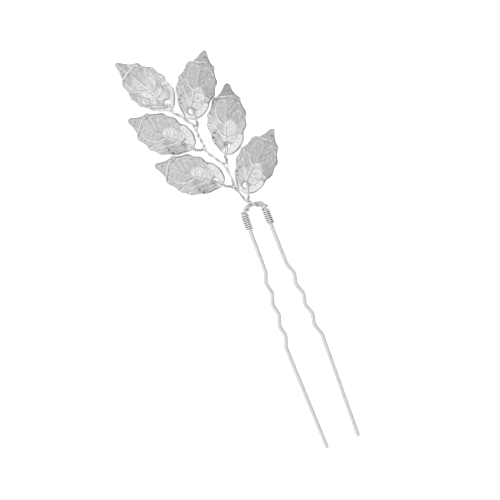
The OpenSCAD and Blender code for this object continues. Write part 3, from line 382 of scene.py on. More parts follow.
CHART_C = Chart(tone=0.59, areas=[
    (0.49, 0.5, (-5.2, 8.8), (-4.6, 12.2), (-3.9, 14.4), (-2.9, 14.4), (-2.8, 11.4), (-3.4, 8.8)),
    (0.8, 0.6, (-1.5, 1), (-1, 0), (1, 0.1), (2.6, 1.6), (2.4, 2.6), (1.2, 2), (0.4, 1.2)),
    (0.78, 0.7, (-2.2, 4.2), (-1.9, 6.3), (-0.2, 8.2), (0, 3.4), (-1, 4.6)),
    (0.8, 0.7, (0.3, 3.4), (0.4, 6.9), (1.4, 6.9), (2.2, 5.8), (1.6, 3.2)),
    (0.76, 0.7, (3.2, 3), (3.4, 6.8), (4.4, 6.6), (4.6, 4)),
    (0.59, 0.8, (-3.9, 6), (-4, 8.5), (-2.4, 9.5), (-1, 8.6), (-2.4, 6.6), (-3.2, 5.2)),
    (0.7, 0.8, (0.3, 7.4), (0.2, 9.4), (2, 10.6), (3.6, 10.2), (3.2, 7.4)),
    (0.52, 1.2, (-3.8, 14.6), (-2.3, 12), (-2, 11), (0, 13), (0.4, 11.5), (2.4, 11.6), (4.2, 12.8),
     (3.4, 15.3), (-2.8, 15.3)),
    (0.42, 0.8, (-3.2, 13), (-2.8, 15.2), (0.2, 15.2), (0.2, 13.6), (-1.5, 13.2)),
    (0.68, 0.5, (-4.4, 7.6), (-4.9, 6), (-3.9, 4.7), (-2.6, 3.6), (-2.6, 4.6), (-3.9, 6)),
    (0.79, 0.35, (-2, 9), (-1.2, 8.4), (-0.6, 6.6), (-0.9, 5.9), (-1.8, 6.6), (-2.2, 7.6)),
    (0.75, 0.35, (-3.2, 7.9), (-3.8, 7.5), (-4, 6.8), (-3.5, 6), (-2.8, 5.9), (-2.2, 6.4), (-2.4, 7.1)),
    (0.75, 0.35, (-1.8, 6.1), (-2.3, 5.7), (-2.4, 5), (-1.9, 4.4), (-1.2, 4.4), (-0.9, 4.9)),
    (0.85, 0.25, (-3.6, 4), (-2, 2), (-0.7, 0.6), (-0.5, 0), (-2.1, 1.2), (-3.3, 2.6)),
    (0.8, 0.35, (4.6, 8.6), (5.2, 8), (4.9, 7.2), (4.2, 7.6)),
    (0.84, 0.35, (4.4, 6.7), (4.6, 5.9), (3.8, 5.4), (3.5, 6.1)),
    (0.81, 0.4, (4.3, 4.6), (3.9, 3.2), (2.6, 1.9), (1.2, 1), (1.6, 1.9), (3, 3.3), (3.6, 4.7)),
    (0.48, 0.3, (-2.4, 15.6), (3, 15.6), (1.4, 17.8), (0.4, 19.8), (-1, 19.8), (-1.6, 17.2)),
], raised=[
    (1.4, (-2.8, 15.5), (-1.5, 15.38), (0, 15.42), (1.5, 15.48), (2.8, 15.5)),
    (1.5, (-0.12, 15.6), (-0.2, 16.6), (-0.28, 17.8), (-0.35, 19.1)),
    (1.1, (1.6, 15.6), (1.68, 16.2), (1.8, 16.9)),
    (0.8, (-2.15, 15.6), (-2.1, 16.2)),
    (0.4, (-0.1, 14.3), (-0.08, 12), (-0.05, 9.2)),
    (0.45, (-0.05, 9.2), (-0.1, 6), (-0.1, 3.4)),
    (1.1, (-2.45, 14.3), (-2.75, 13.5), (-2.8, 12.5), (-2.65, 11.6)),
    (1.4, (-3.1, 2.95), (-2.6, 2.2), (-2, 1.6), (-0.8, 0.35)),
    (0.7, (-1, 3), (-1.6, 2.5), (-2.2, 3.3), (-2.9, 4.2)),
    (0.6, (-2.2, 5.9), (-2.4, 5.2), (-2, 4.5), (-1.5, 4.6)),
    (0.6, (-3.4, 7.6), (-3.6, 6.8), (-3.3, 6.1), (-2.7, 6.5), (-2.7, 7.3)),
    (0.6, (-0.2, 7.8), (-0.9, 8.4), (-1.6, 9.1), (-2.3, 10.1)),
    (0.6, (0.5, 5.3), (1.2, 5.1), (2, 5.4), (2.4, 6)),
    (0.6, (0.5, 7.2), (1.4, 7.1), (2.2, 7.8), (2.8, 8.5)),
    (0.6, (1.4, 2.5), (2, 3.2), (2.6, 4.2)),
    (0.6, (3.5, 6.6), (3.5, 5.9), (4.1, 5.5)),
    (0.5, (3.9, 7.9), (3.9, 7.1), (4.7, 6.9), (4.9, 7.6)),
    (0.5, (1.2, 12.2), (1.9, 13), (2.5, 14)),
    (0.5, (2.5, 11.4), (3.4, 12), (3.9, 13)),
    (0.5, (2.6, 9.4), (3.6, 10.4), (4.1, 11.4)),
    (0.6, (2.9, 14.9), (3.2, 14.5)),
    (0.5, (-3.9, 14.6), (-3.2, 14.75)),
], sunk=[
    (1.2, (0.9, 0.25), (1.5, 0.65), (2.2, 1.2), (3.15, 1.95)),
    (1.1, (-2.8, 1.85), (-2.2, 1.3), (-1.6, 0.7), (-1.1, 0.1), (-0.8, -0.1)),
    (0.8, (-3.9, 5.95), (-3.35, 5.35), (-2.9, 4.7)),
    (0.6, (-3.75, 4.75), (-2.95, 3.45), (-2.1, 2.5), (-1.5, 1.9), (-0.6, 1.1)),
    (0.55, (-2.7, 10.6), (-2.73, 9.6), (-2.95, 8.4), (-2.3, 7.2), (-1.4, 6.2), (-0.6, 5.1), (0.2, 4.4)),
    (0.6, (-3.2, 8), (-3.85, 7.55), (-4.1, 6.8), (-3.6, 5.9), (-2.8, 5.8), (-2.1, 6.4), (-2.35, 7.15)),
    (0.6, (-1.8, 6.2), (-2.35, 5.8), (-2.45, 5.05), (-1.9, 4.35), (-1.2, 4.35), (-0.85, 4.9)),
    (0.5, (-0.45, 4.65), (-1.05, 3.6), (-1, 2.5)),
    (0.5, (3.3, 8.6), (2.3, 7.4), (1, 6.8), (0.25, 6.9)),
    (0.5, (3.5, 6.9), (2.65, 5.85), (1.5, 5.1), (0.25, 4.9), (-0.55, 5.55), (-0.4, 6.4)),
    (0.5, (3.8, 5.45), (3.05, 4.25), (1.9, 3.15), (1.3, 2.45)),
    (0.45, (-4.5, 6.6), (-3.5, 5.35), (-2.3, 4.3), (-1.5, 3.25), (-0.9, 2)),
    (0.4, (-4.4, 11.7), (-3.95, 10.2), (-4.3, 8.5), (-4.25, 6.8)),
    (0.4, (-4.4, 11.7), (-3.3, 10.45), (-2, 9.2)),
    (0.6, (-0.2, 8), (-0.9, 8.9), (-1.4, 9.4)),
    (0.5, (-1.4, 9.4), (-1.9, 10.2), (-2.2, 11.2), (-2.5, 12.2), (-2.5, 13.3)),
    (1, (-0.25, 3.15), (0.4, 3.2), (0.95, 2.75), (0.9, 2), (0.5, 1.5), (0, 1.3)),
    (0.5, (0.25, 1.2), (0.1, 0.5), (0.15, 0)),
    (0.6, (0.3, 4.75), (1, 4.8), (1.8, 5), (2.6, 5.4)),
    (0.5, (0.5, 6.8), (1.4, 6.7), (2, 7.2)),
    (0.6, (1.5, 2.6), (2.3, 2.8), (2.9, 3.3), (3.4, 4.2)),
    (0.5, (3.2, 7), (3, 6.2), (3.3, 5.3), (4.2, 5)),
    (0.7, (3.7, 7.4), (3.8, 6.9), (4.6, 6.5), (4.9, 6.9)),
    (1, (3.55, 15), (3.65, 14.5), (3.5, 14.1)),
    (0.7, (2, 15.05), (2.5, 14.6)),
    (0.6, (-0.8, 15.1), (0.7, 15.1)),
    (0.7, (-3.9, 14.15), (-3.3, 14.2), (-2.8, 14.45)),
    (0.5, (-4.4, 11.5), (-3.8, 10.8), (-3.5, 10), (-3.3, 9.2)),
    (0.7, (4, 13.4), (4.3, 12.5), (4.8, 11.8)),
    (0.35, (0.45, 12.3), (0.4, 11.4), (0.35, 10.2), (0.3, 9.2)),
    (0.5, (4.2, 11.6), (4.25, 10.6), (4.1, 9.4)),
    (0.5, (-1.9, 15.8), (-1.6, 16.5)),
    (0.35, (2, 16.5), (1.2, 17.5), (0.6, 18.8), (0.2, 19.4)),
    (0.6, (-1.1, 18.2), (-1, 19.2), (-0.5, 19.6)),
    (0.4, (-0.5, 15.8), (-0.55, 17.2), (-0.65, 18.6)),
    (0.4, (1.2, 9.2), (1.9, 10), (2.4, 10.9)),
    (0.3, (2, 12.2), (2.7, 13), (3, 13.9)),
    (0.5, (-0.7, 4.9), (-0.8, 4), (-1.1, 3.4)),
], bosses=[
    (-1.7, 4.7, 0.2, 0.8), (-2.2, 5.3, 0.16, 0.6), (0.6, 7.7, 0.2, 0.6), (-0.9, 7, 0.2, 0.6),
    (3.6, 6.2, 0.16, 0.8), (3.2, 14.7, 0.15, 0.8), (2, 8, 0.2, 0.4), (1.5, 2.2, 0.16, 0.6),
    (-0.7, 0.7, 0.3, 0.5), (1.7, 16.3, 0.14, 0.5), (-2.1, 8.4, 0.16, 0.4), (4.1, 4.4, 0.2, 0.4),
], pits=[
    (-1.8, 5.35, 0.18, 1), (-3.1, 7.15, 0.18, 1), (-3, 6.5, 0.22, 1), (-0.5, 7.2, 0.2, 1.3),
    (-0.6, 6.4, 0.18, 1), (-1.1, 8, 0.15, 0.8), (-1.55, 7.6, 0.16, 0.8), (-1.3, 4.75, 0.16, 0.8),
    (-0.8, 2.65, 0.18, 1.3), (-1.5, 2.8, 0.16, 0.9), (-0.55, 1.5, 0.2, 0.8), (-3.7, 4.5, 0.18, 0.9),
    (-3.25, 4.1, 0.17, 0.9), (-4.5, 8.5, 0.22, 0.8), (-4.6, 7.4, 0.14, 0.5), (-2.4, 8.2, 0.15, 0.6),
    (0.9, 7.8, 0.18, 0.9), (1.6, 8.3, 0.18, 1), (1.6, 9, 0.17, 1), (3.15, 7.8, 0.17, 1),
    (2.5, 7.3, 0.18, 0.9), (1, 6.1, 0.16, 0.8), (1, 5.7, 0.14, 0.7), (2.3, 6.5, 0.16, 0.7),
    (2.75, 5.7, 0.17, 0.8), (2.6, 5, 0.16, 0.8), (1.4, 4.35, 0.15, 0.7), (1.4, 4.05, 0.13, 0.6),
    (4.4, 7.45, 0.18, 0.9), (4.95, 8.2, 0.17, 1), (3.95, 6, 0.15, 0.7), (3.6, 5.4, 0.15, 0.6),
    (2.9, 3.2, 0.16, 0.8), (1.8, 2.4, 0.14, 0.6), (3.6, 4.4, 0.14, 0.5), (4.3, 4.9, 0.16, 0.8),
    (5.1, 7.2, 0.14, 0.7), (0.7, 16.5, 0.17, 1), (0.3, 18.3, 0.18, 0.9), (-1.1, 16.1, 0.24, 1),
    (-1.8, 15.85, 0.16, 0.8), (-0.7, 17, 0.2, 0.6), (0.1, 19.3, 0.15, 0.7), (-2.15, 14.95, 0.18, 1.3),
    (-0.4, 14.95, 0.22, 1.1), (0.3, 15, 0.14, 0.6), (-1.95, 13.1, 0.18, 1.1), (1.1, 13, 0.17, 0.9),
    (-1.4, 12.75, 0.14, 0.6), (-1.9, 12.4, 0.13, 0.5), (-1.75, 11.45, 0.15, 0.7), (-0.6, 11.35, 0.17, 0.7),
    (-0.7, 10.2, 0.17, 0.9), (3.05, 13.2, 0.17, 1), (2.1, 13.5, 0.15, 0.8), (3.45, 12.8, 0.17, 0.7),
    (0.8, 12.1, 0.14, 0.6), (1.8, 11.2, 0.14, 0.6), (3.1, 10.5, 0.15, 0.9), (3.2, 9.9, 0.16, 0.9),
    (2.2, 9.5, 0.14, 0.7), (4.6, 11.7, 0.16, 0.9), (4.6, 9.9, 0.19, 0.8), (4.6, 10.65, 0.12, 0.6),
    (-4.35, 9.8, 0.16, 0.7), (-4.5, 10.4, 0.13, 0.5), (-3.3, 9.9, 0.15, 0.8), (-4.2, 9.2, 0.17, 0.8),
    (-2.9, 8.9, 0.16, 0.9), (-3, 11.4, 0.14, 0.5), (0.3, 12.6, 0.12, 0.8), (0.3, 11.9, 0.12, 0.8),
    (0.35, 11.3, 0.11, 0.7), (0.4, 10.9, 0.11, 0.7), (0.35, 10, 0.12, 0.8), (0.3, 9.6, 0.11, 0.6),
    (0.4, 13.4, 0.12, 0.6), (3.7, 11.5, 0.14, 0.6), (-1.9, 9.2, 0.13, 0.5), (1.6, 14.6, 0.14, 0.5),
])
CHARTS = {"A": CHART_A, "B": CHART_B, "C": CHART_C}

# Tone of the thin wires below and on top, painted shade on their undersides and flanks and a painted
# highlight on top, and how far upwards the surface faces where each starts
SPRAY_TONES = (0.52, 0.7)
BINDING_TONES = (0.14, 0.98)
HIGHLIGHT_FROM = 0.0
HIGHLIGHT_TO = 0.7
# Places of painted shade and of painted highlight on the thin wires: x, y, radius, strength
WIRE_SHADE_SPOTS = [
    (-2.1, 4.5, 1.3, 0.3), (-3.3, 6.5, 1.3, 0.3), (-0.35, 2.85, 0.6, 0.35), (0.0, 3.5, 0.4, 0.3),
    (-0.9, 2.0, 0.3, 0.25), (-3.9, 7.8, 0.9, 0.15), (-2.0, 14.6, 0.9, 0.2), (-7.9, 19.75, 0.9, 0.15),
    (-6.0, 26.4, 0.9, 0.3), (3.5, -0.4, 0.4, 0.65), (-11.04, 22.6, 0.5, 0.3), (-0.8, 18.5, 0.5, 0.3),
    (-7.25, 10.3, 0.5, 0.3), (3.65, -2.6, 0.5, 0.35), (3.7, -4.0, 0.3, 0.5), (3.7, -4.65, 0.3, 0.6),
    (3.75, -5.2, 0.3, 0.6),
]
WIRE_HIGHLIGHT_SPOTS = [(0.4, 1.3, 0.5, 0.5), (-1.15, 2.75, 0.45, 0.9), (1.3, 0.1, 0.4, 0.7), (3.0, 0.6, 0.5, 0.5)]
# Flanks of the windings, with painted shade, and streaks of painted highlight along them: x and strength
WINDING_YS = np.arange(-5.4, -0.4, 0.5)
SHADED_FLANKS = [(-3.8, 0.45), (-2.0, 0.2), (2.0, 0.15), (3.85, 0.6)]
FLANK_R = 0.35
HIGHLIGHT_STREAKS = [(-2.5, 0.5), (3.1, 0.5)]
STREAK_R = 0.3
WIRE_SHADE_SPOTS += [(x, y, FLANK_R, strength) for x, strength in SHADED_FLANKS for y in WINDING_YS]
WIRE_HIGHLIGHT_SPOTS += [(x, y, STREAK_R, strength) for x, strength in HIGHLIGHT_STREAKS for y in WINDING_YS]
# Painted highlight on the wire over the heels of the leaves with chart A: place on the leaf, radius,
# strength
HEEL_HIGHLIGHT = ((-0.1, 0.8, 0.0), 0.7, 0.8)

# Places of painted shade on the pin: x, y, radius, strength. At the windings it has painted shade as a
# whole, and then once more on its sides, which face upwards by less than SIDES_TO.
PIN_SHADE_SPOTS = [
    (-0.6, 1.05, 0.2, 0.45), (-0.15, 1.05, 0.22, 0.55), (0.95, 0.98, 0.19, 0.5), (1.35, 0.9, 0.19, 0.5),
    (1.8, 0.72, 0.19, 0.5), (-1.45, 0.05, 0.25, 0.35), (1.75, -0.05, 0.25, 0.35), (-2.45, 0.35, 0.12, 0.4),
    (-2.05, 0.5, 0.12, 0.4), (2.2, 0.25, 0.12, 0.4), (2.55, -0.35, 0.12, 0.35), (-2.86, -2.95, 2.35, 0.32),
    (2.94, -3.5, 2.0, 0.22),
]
SIDE_SHADE_SPOTS = [(-4.2, -2.8, 2.0, 0.35), (3.5, -3.5, 2.0, 0.6)]
SIDES_FROM = 0.6
SIDES_TO = 0.95
SHADE_EDGE = 0.12

# Metals: how much the tone varies in patches, the fine grain, and the dark dots of painted shade for fine
# dents. Scales count per metre.
DULL = (0.93, 0.93, 0.93)
CLEAN = (1.06, 1.06, 1.06)
PIN_DARK = (0.58, 0.58, 0.585)
PIN_BRIGHT = (0.66, 0.66, 0.665)
PATCHES = 2500
PIN_PATCHES = 900
PIN_ROUGHNESS = (0.3, 0.4)
PIN_GRAIN = 0.3
PATCH_DETAIL = 4
PATCH_FROM = 0.3
PATCH_TO = 0.7
GRAIN = 12000
GRAIN_DEPTH = 0.00002
STIPPLE = 1500
STIPPLE_SHARE = 0.12
STIPPLE_FROM = 0.15
STIPPLE_TO = 0.5

# Camera: the photograph is PHOTO_FIELD wide, its middle is over PHOTO_MIDDLE, and its sides are
# turned from the hairpin's own
PHOTO_FIELD = 135.0
PHOTO_MIDDLE = np.array([-4.85, -10.21])
PHOTO_TURN = math.radians(-21)
CAMERA_HEIGHT = 1.2
SENSOR = 36
FAR = 10

# Floor, in metres, and its light
FLOOR_HALF = 0.6
PAPER_GLOW = 0.58

# Brightness of the studio's dome from straight above down to the floor's level, and of the wide
# soft light to the left of the hairpin
DOME = [(0, 1.0), (45, 1.0), (62, 0.85), (75, 0.5), (90, 0.4)]
SIDE_LIGHT = 0.45
SIDE_WAY = (-0.81, 0.31, 0.5)
SIDE_FROM = 0.45
SIDE_TO = 1.0

# The hairpin's own frame, in which the tables above are written, starts where the pin's middle
# line meets the bow, and the pin's box says where that is
pin_low, pin_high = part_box("u_pin")
SHIFT = np.array([(pin_low.x + pin_high.x) / 2 / MM, pin_high.y / MM - BOW_TOP - PIN_D / 2, 0])


# Curves and shares
def unit(v):
    return v / np.linalg.norm(v)


def eased(t):
    """Smooth rise from 0 to 1."""
    t = np.clip(t, 0, 1)
    return t * t * (3 - 2 * t)


def spot(x, y, place, radius):
    """1 at the place and less around it."""
    return np.exp(-((x - place[0]) ** 2 + (y - place[1]) ** 2) / radius ** 2)


def curve_through(points, step=None, per_span=None):
    """Smooth curve through the points, with so many places on each span or one every step."""
    p = np.array(points, float)
    ends = np.vstack([2 * p[0] - p[1], p, 2 * p[-1] - p[-2]])
    out = []
    for i in range(len(p) - 1):
        a, b, c, d = ends[i:i + 4]
        n = per_span or max(1, math.ceil(np.linalg.norm(c - b) / step))
        t = (np.arange(n) / n)[:, None]
        out.append((2 * b + (c - a) * t + (2 * a - 5 * b + 4 * c - d) * t ** 2
                    + (3 * b - a - 3 * c + d) * t ** 3) / 2)
    return np.vstack(out + [p[-1:]])


def lengths(path):
    return np.concatenate([[0], np.cumsum(np.linalg.norm(np.diff(path, axis=0), axis=1))])


def ways(path):
    d = np.gradient(path, axis=0)
    return d / np.linalg.norm(d, axis=1)[:, None]


def rounded(path, passes=2):
    """The path with its corners eased."""
    p = path.copy()
    for _ in range(passes):
        p[1:-1] = (p[:-2] + 2 * p[1:-1] + p[2:]) / 4
    return p


def evenly(path, step=RING_STEP):
    """The path with a place every step along it."""
    s = lengths(path)
    at = np.linspace(0, s[-1], max(2, round(s[-1] / step)))
    return np.stack([np.interp(at, s, path[:, i]) for i in range(3)], axis=1)


# Pieces
def linked(name, data):
    piece = bpy.data.objects.new(name, data)
    bpy.context.scene.collection.objects.link(piece)
    return piece


def new_piece(name, points, faces, smooth_angle, tone, material, replaced):
    """Piece from points in the hairpin's own frame, in millimetres, with the metal's tone at each."""
    mesh = bpy.data.meshes.new(name)
    mesh.from_pydata(((points + SHIFT) * MM).tolist(), [], [tuple(f) for f in faces])
    mesh.polygons.foreach_set("use_smooth", [True] * len(mesh.polygons))
    mesh.set_sharp_from_angle(angle=math.radians(smooth_angle))
    mesh.update()
    mesh.materials.append(material)
    attribute = mesh.color_attributes.new("tone", "FLOAT_COLOR", "POINT")
    attribute.data.foreach_set("color", np.stack([tone, tone, tone, np.ones(len(tone))], axis=1).ravel())
    piece = linked(name, mesh)
    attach(piece, "root")
    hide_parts(replaced)


# Leaf: the plain sheet
def sheet(x, y):
    """Height of the plain sheet's upper face."""
    y = np.minimum(y, NOSE_Y)
    crease = (np.sqrt((y - CREASE_Y) ** 2 + CREASE_SOFT ** 2) + y - CREASE_Y) / 2
    arch = y * HEEL_RISE - (HEEL_RISE + NOSE_FALL) * crease
    return arch - FOLD * (np.sqrt((x - RIB_X) ** 2 + RIB_SOFT ** 2) - RIB_SOFT)


def leaf_plan(leaf):
    """x and y of the sheet's grid of points, before it is bent, as arrays of rows and columns."""
    rows = curve_through(HEELS[leaf.heel] + BODY + NOSES[leaf.nose], per_span=STEPS_PER_ROW)
    share = np.linspace(-1, 1, 2 * HALF_COLUMNS + 1)
    left = share < 0
    share = 1 - (1 - np.abs(share)) ** CROWDING
    edge_x = np.where(left, rows[:, 1:2], rows[:, 3:4])
    edge_y = np.where(left, rows[:, 2:3], rows[:, 4:5])
    return RIB_X + (edge_x - RIB_X) * share, rows[:, :1] + (edge_y - rows[:, :1]) * share


def distance_to_line(x, y, line):
    """Distance from each point to the line, which is an array of points."""
    best = np.full(x.shape, np.inf)
    for a, b in zip(line[:-1], line[1:]):
        d = b - a
        t = np.clip(((x - a[0]) * d[0] + (y - a[1]) * d[1]) / (d @ d), 0, 1)
        best = np.minimum(best, np.hypot(x - a[0] - t * d[0], y - a[1] - t * d[1]))
    return best


def inside(x, y, outline):
    """Whether each point lies inside the outline."""
    odd = np.zeros(x.shape, bool)
    for a, b in zip(outline, np.roll(outline, -1, axis=0)):
        crosses = (a[1] > y) != (b[1] > y)
        with np.errstate(divide="ignore", invalid="ignore"):
            at = a[0] + (y - a[1]) * (b[0] - a[0]) / (b[1] - a[1])
        odd ^= crosses & (x < at)
    return odd


# Leaf: relief from its chart, and tone with painted light and shade
def from_chart(points, nose_slope):
    """Points of a chart on the flat sheet, where the sloping nose is longer than it looks."""
    p = np.array(points, float)
    past = np.maximum(0, p[:, 1] - NOSE_Y)
    p[:, 1] += past / math.cos(math.radians(nose_slope)) - past
    return p


def region(x, y, outline, softness):
    """1 inside the outline and 0 outside, with a soft edge."""
    d = distance_to_line(x, y, np.vstack([outline, outline[:1]]))
    return eased(0.5 + np.where(inside(x, y, outline), d, -d) / (2 * softness))


def leaf_relief(x, y, leaf):
    """Height of the stamped relief, and tone of the metal with painted light and shade at each point."""
    chart = CHARTS[leaf.chart]
    height = np.zeros(x.shape)
    tone = np.full(x.shape, chart.tone)

    def along(points):
        line = curve_through(from_chart(points, leaf.nose_slope), per_span=LINE_PLACES)
        return np.exp(-(distance_to_line(x, y, line) / LINE_W) ** 2)

    def around(place, radius):
        return spot(x, y, from_chart([place], leaf.nose_slope)[0], radius)

    # Areas: painted light and shade over parts of the leaf
    for level, softness, *outline in chart.areas:
        tone += (level - tone) * region(x, y, from_chart(outline, leaf.nose_slope), softness)
    # Sunk lines: painted shade in the grooves
    for strength, *points in chart.sunk:
        dip = strength * along(points)
        height -= SUNK_H * dip
        tone *= 1 - np.minimum(SUNK_SHADE_SHARE * dip, MOST_SHADE)
    # Raised lines: painted highlight on the ridges
    for strength, *points in chart.raised:
        bump = strength * along(points)
        height += np.maximum(0, RAISED_H * bump - np.maximum(height, 0))
        tone += (HIGHLIGHT_TONE - tone) * np.minimum(HIGHLIGHT_SHARE * bump, 1)
    # Bosses: painted highlight
    for *place, radius, strength in chart.bosses:
        bump = strength * around(place, radius)
        height += BOSS_H * bump
        tone += (HIGHLIGHT_TONE - tone) * np.minimum(HIGHLIGHT_SHARE * bump, 1)
    # Pits: painted shade
    for *place, radius, strength in chart.pits:
        dip = strength * around(place, radius)
        height -= PIT_H * dip
        tone *= 1 - np.minimum(PIT_SHADE_SHARE * dip, MOST_SHADE)
    return height, tone


# Leaf: the finished shell
def leaf_turned(leaf, p):
    """A leaf's own frame seen from the hairpin's, with its heel at height 0."""
    r, t = math.radians(leaf.roll), math.radians(leaf.direction - 90)
    qx = leaf.size * (p[..., 0] * math.cos(r) - p[..., 2] * math.sin(r))
    qy = leaf.size * p[..., 1]
    qz = leaf.size * (p[..., 0] * math.sin(r) + p[..., 2] * math.cos(r))
    x = leaf.x + qx * math.cos(t) - qy * math.sin(t)
    y = leaf.y + qx * math.sin(t) + qy * math.cos(t)
    return np.stack([x, y, qz], axis=-1)


def leaf_faces(leaf):
    """Plan, upper and lower face of a leaf in its own frame, and the tone at each point."""
    x, y = leaf_plan(leaf)
    sides = [(x[0], y[0]), (x[:, -1], y[:, -1]), (x[-1, ::-1], y[-1, ::-1]), (x[::-1, 0], y[::-1, 0])]
    outline = np.hstack(sides).T
    near_hole = np.hypot(x - HOLE[0], y - HOLE[1])
    edge = np.minimum(distance_to_line(x, y, outline[::RIM_STRIDE]), np.abs(near_hole - HOLE_R))
    relief, tone = leaf_relief(x, y, leaf)
    relief *= np.clip((near_hole - HOLE_R) / HOLE_FADE, 0, 1)
    relief -= RIM_TURN * np.exp(-(edge / RIM_W) ** 2)
    past = np.maximum(0, y - NOSE_Y)
    s = math.radians(leaf.nose_slope)
    top = np.stack([x, y - past + past * math.cos(s), sheet(x, y) + relief - past * math.sin(s)], axis=-1)
    thin = EDGE_ROUND * np.exp(-(edge / EDGE_W) ** 2)
    lower = top - [0, 0, SHEET_T]
    lower[..., 2] += thin
    top[..., 2] -= thin
    return x, y, top, lower, tone


def shell_from_grids(top, lower, keep):
    """Points and faces of a closed shell between two grids, over the cells that are kept."""
    rows, columns = top.shape[:2]
    n = rows * columns
    index = np.arange(n).reshape(rows, columns)
    quads = np.stack([index[:-1, :-1], index[:-1, 1:], index[1:, 1:], index[1:, :-1]], axis=-1)[keep]
    edges = np.concatenate([quads[:, [i, (i + 1) % 4]] for i in range(4)])
    key = np.sort(edges, axis=1) @ np.array([n, 1])
    _, first, count = np.unique(key, return_index=True, return_counts=True)
    rim = edges[first[count == 1]]
    walls = np.stack([rim[:, 1], rim[:, 0], rim[:, 0] + n, rim[:, 1] + n], axis=1)
    faces = np.vstack([quads, quads[:, ::-1] + n, walls])
    used, faces = np.unique(faces, return_inverse=True)
    points = np.vstack([top.reshape(-1, 3), lower.reshape(-1, 3)])[used]
    return points, faces.reshape(-1, 4), used % n


def open_hole(x, y, faces):
    """Cells that are kept round the hole. The faces' points at its rim are moved onto its circle."""
    cx = (x[:-1, :-1] + x[1:, 1:]) / 2
    cy = (y[:-1, :-1] + y[1:, 1:]) / 2
    keep = np.hypot(cx - HOLE[0], cy - HOLE[1]) > HOLE_R
    padded = np.pad(keep, 1, constant_values=True)
    around = np.stack([padded[:-1, :-1], padded[1:, :-1], padded[:-1, 1:], padded[1:, 1:]])
    rim = around.any(axis=0) & ~around.all(axis=0)
    out = np.stack([x, y], axis=-1)[rim] - HOLE
    for face in faces:
        face[rim, :2] = HOLE + out * HOLE_R / np.linalg.norm(out, axis=-1)[:, None]
    return keep


def make_leaf(leaf, name, material):
    """Makes a leaf's piece, with its lowest point on the floor, and tells how far that lifts it."""
    x, y, top, lower, tone = leaf_faces(leaf)
    keep = open_hole(x, y, (top, lower))
    points, faces, source = shell_from_grids(top, lower, keep)
    placed = leaf_turned(leaf, points)
    lift = -placed[:, 2].min()
    placed[:, 2] += lift
    tone = tone.ravel()[source]
    new_piece("stamped_" + name, placed, faces, LEAF_SMOOTH, tone, material, name)
    return lift


# Thin wire: a tube along a path, with rounded ends, with a painted highlight on its upper side and painted
# shade below
def wire_tone(points, up, tones):
    """Tone at each point, where the surface faces upwards by so much: painted shade below, a painted
    highlight on top, and spots of painted shade and highlight.
    """
    tone = tones[0] + (tones[1] - tones[0]) * eased((up - HIGHLIGHT_FROM) / (HIGHLIGHT_TO - HIGHLIGHT_FROM))
    # Spots of painted shade
    for *place, radius, strength in WIRE_SHADE_SPOTS:
        tone *= 1 - strength * spot(points[:, 0], points[:, 1], place, radius)
    heel_place, heel_r, heel_strength = HEEL_HIGHLIGHT
    on_heels = [(*leaf_turned(leaf, np.array(heel_place))[:2], heel_r, heel_strength)
                for leaf in LEAVES if leaf.chart == "A"]
    # Spots of painted highlight
    for *place, radius, strength in WIRE_HIGHLIGHT_SPOTS + on_heels:
        tone += (HIGHLIGHT_TONE - tone) * strength * spot(points[:, 0], points[:, 1], place, radius)
    return tone


def make_wire(name, path, diameter, tones, material, replaced):
    """Makes a piece of thin wire, with one diameter or one for each place of its path."""
    diameters = np.broadcast_to(diameter, len(path))
    way = ways(path)
    starts = [path[0] - way[0] * step for step in END_STEPS]
    ends = [path[-1] + way[-1] * step for step in END_STEPS[::-1]]
    path = np.vstack([starts, path, ends])
    radii = np.concatenate([np.multiply(END_RADII, diameters[0]), diameters,
                            np.multiply(END_RADII[::-1], diameters[-1])]) / 2
    way = ways(path)
    side = unit(np.cross(way[0], [0, 0, 1]))
    angles = np.linspace(0, 2 * math.pi, WIRE_SIDES, endpoint=False)
    rings, up = [], []
    for p, w, r in zip(path, way, radii):
        side = unit(side - w * (side @ w))
        out = np.outer(np.cos(angles), side) + np.outer(np.sin(angles), np.cross(w, side))
        rings.append(p + r * out)
        up.append(out[:, 2])
    points = np.vstack(rings)
    ring = np.arange(WIRE_SIDES)
    after = (ring + 1) % WIRE_SIDES
    base = (np.arange(len(path) - 1) * WIRE_SIDES)[:, None]
    quads = np.stack([base + ring, base + WIRE_SIDES + ring, base + WIRE_SIDES + after, base + after],
                     axis=-1).reshape(-1, 4)
    faces = quads.tolist() + [ring.tolist(), (len(points) - 1 - ring).tolist()]
    tone = wire_tone(points, np.concatenate(up), tones)
    new_piece(name, points, faces, WIRE_SMOOTH, tone, material, replaced)


# Pin: middle of its wire at the bow, and the windings on it
to_crimp = FIRST_CRIMP - [BOW_FLAT, BOW_TOP - BOW_R]
LEAN = math.atan2(to_crimp[0], -to_crimp[1]) - math.asin(BOW_R / np.linalg.norm(to_crimp))
BOW_HALF = BOW_FLAT + BOW_R * (math.pi / 2 - LEAN)
BOW_Y = BOW_TOP - BOW_R
WIND_R = PIN_D / 2 + BIND_GAP + WIRE_D / 2
wind_foot_y = BOW_Y + LEFT_WIND[0] + BOW_HALF
pin_slope = math.atan((WIND_R + WIRE_D / 2 - PIN_D / 2) / (wind_foot_y - BOW_TOP + PIN_LENGTH))
PIN_Z = WIND_R + WIRE_D / 2 - wind_foot_y * math.sin(pin_slope)
bow_pass = curve_through(BOW_PASS, per_span=BOW_PLACES)


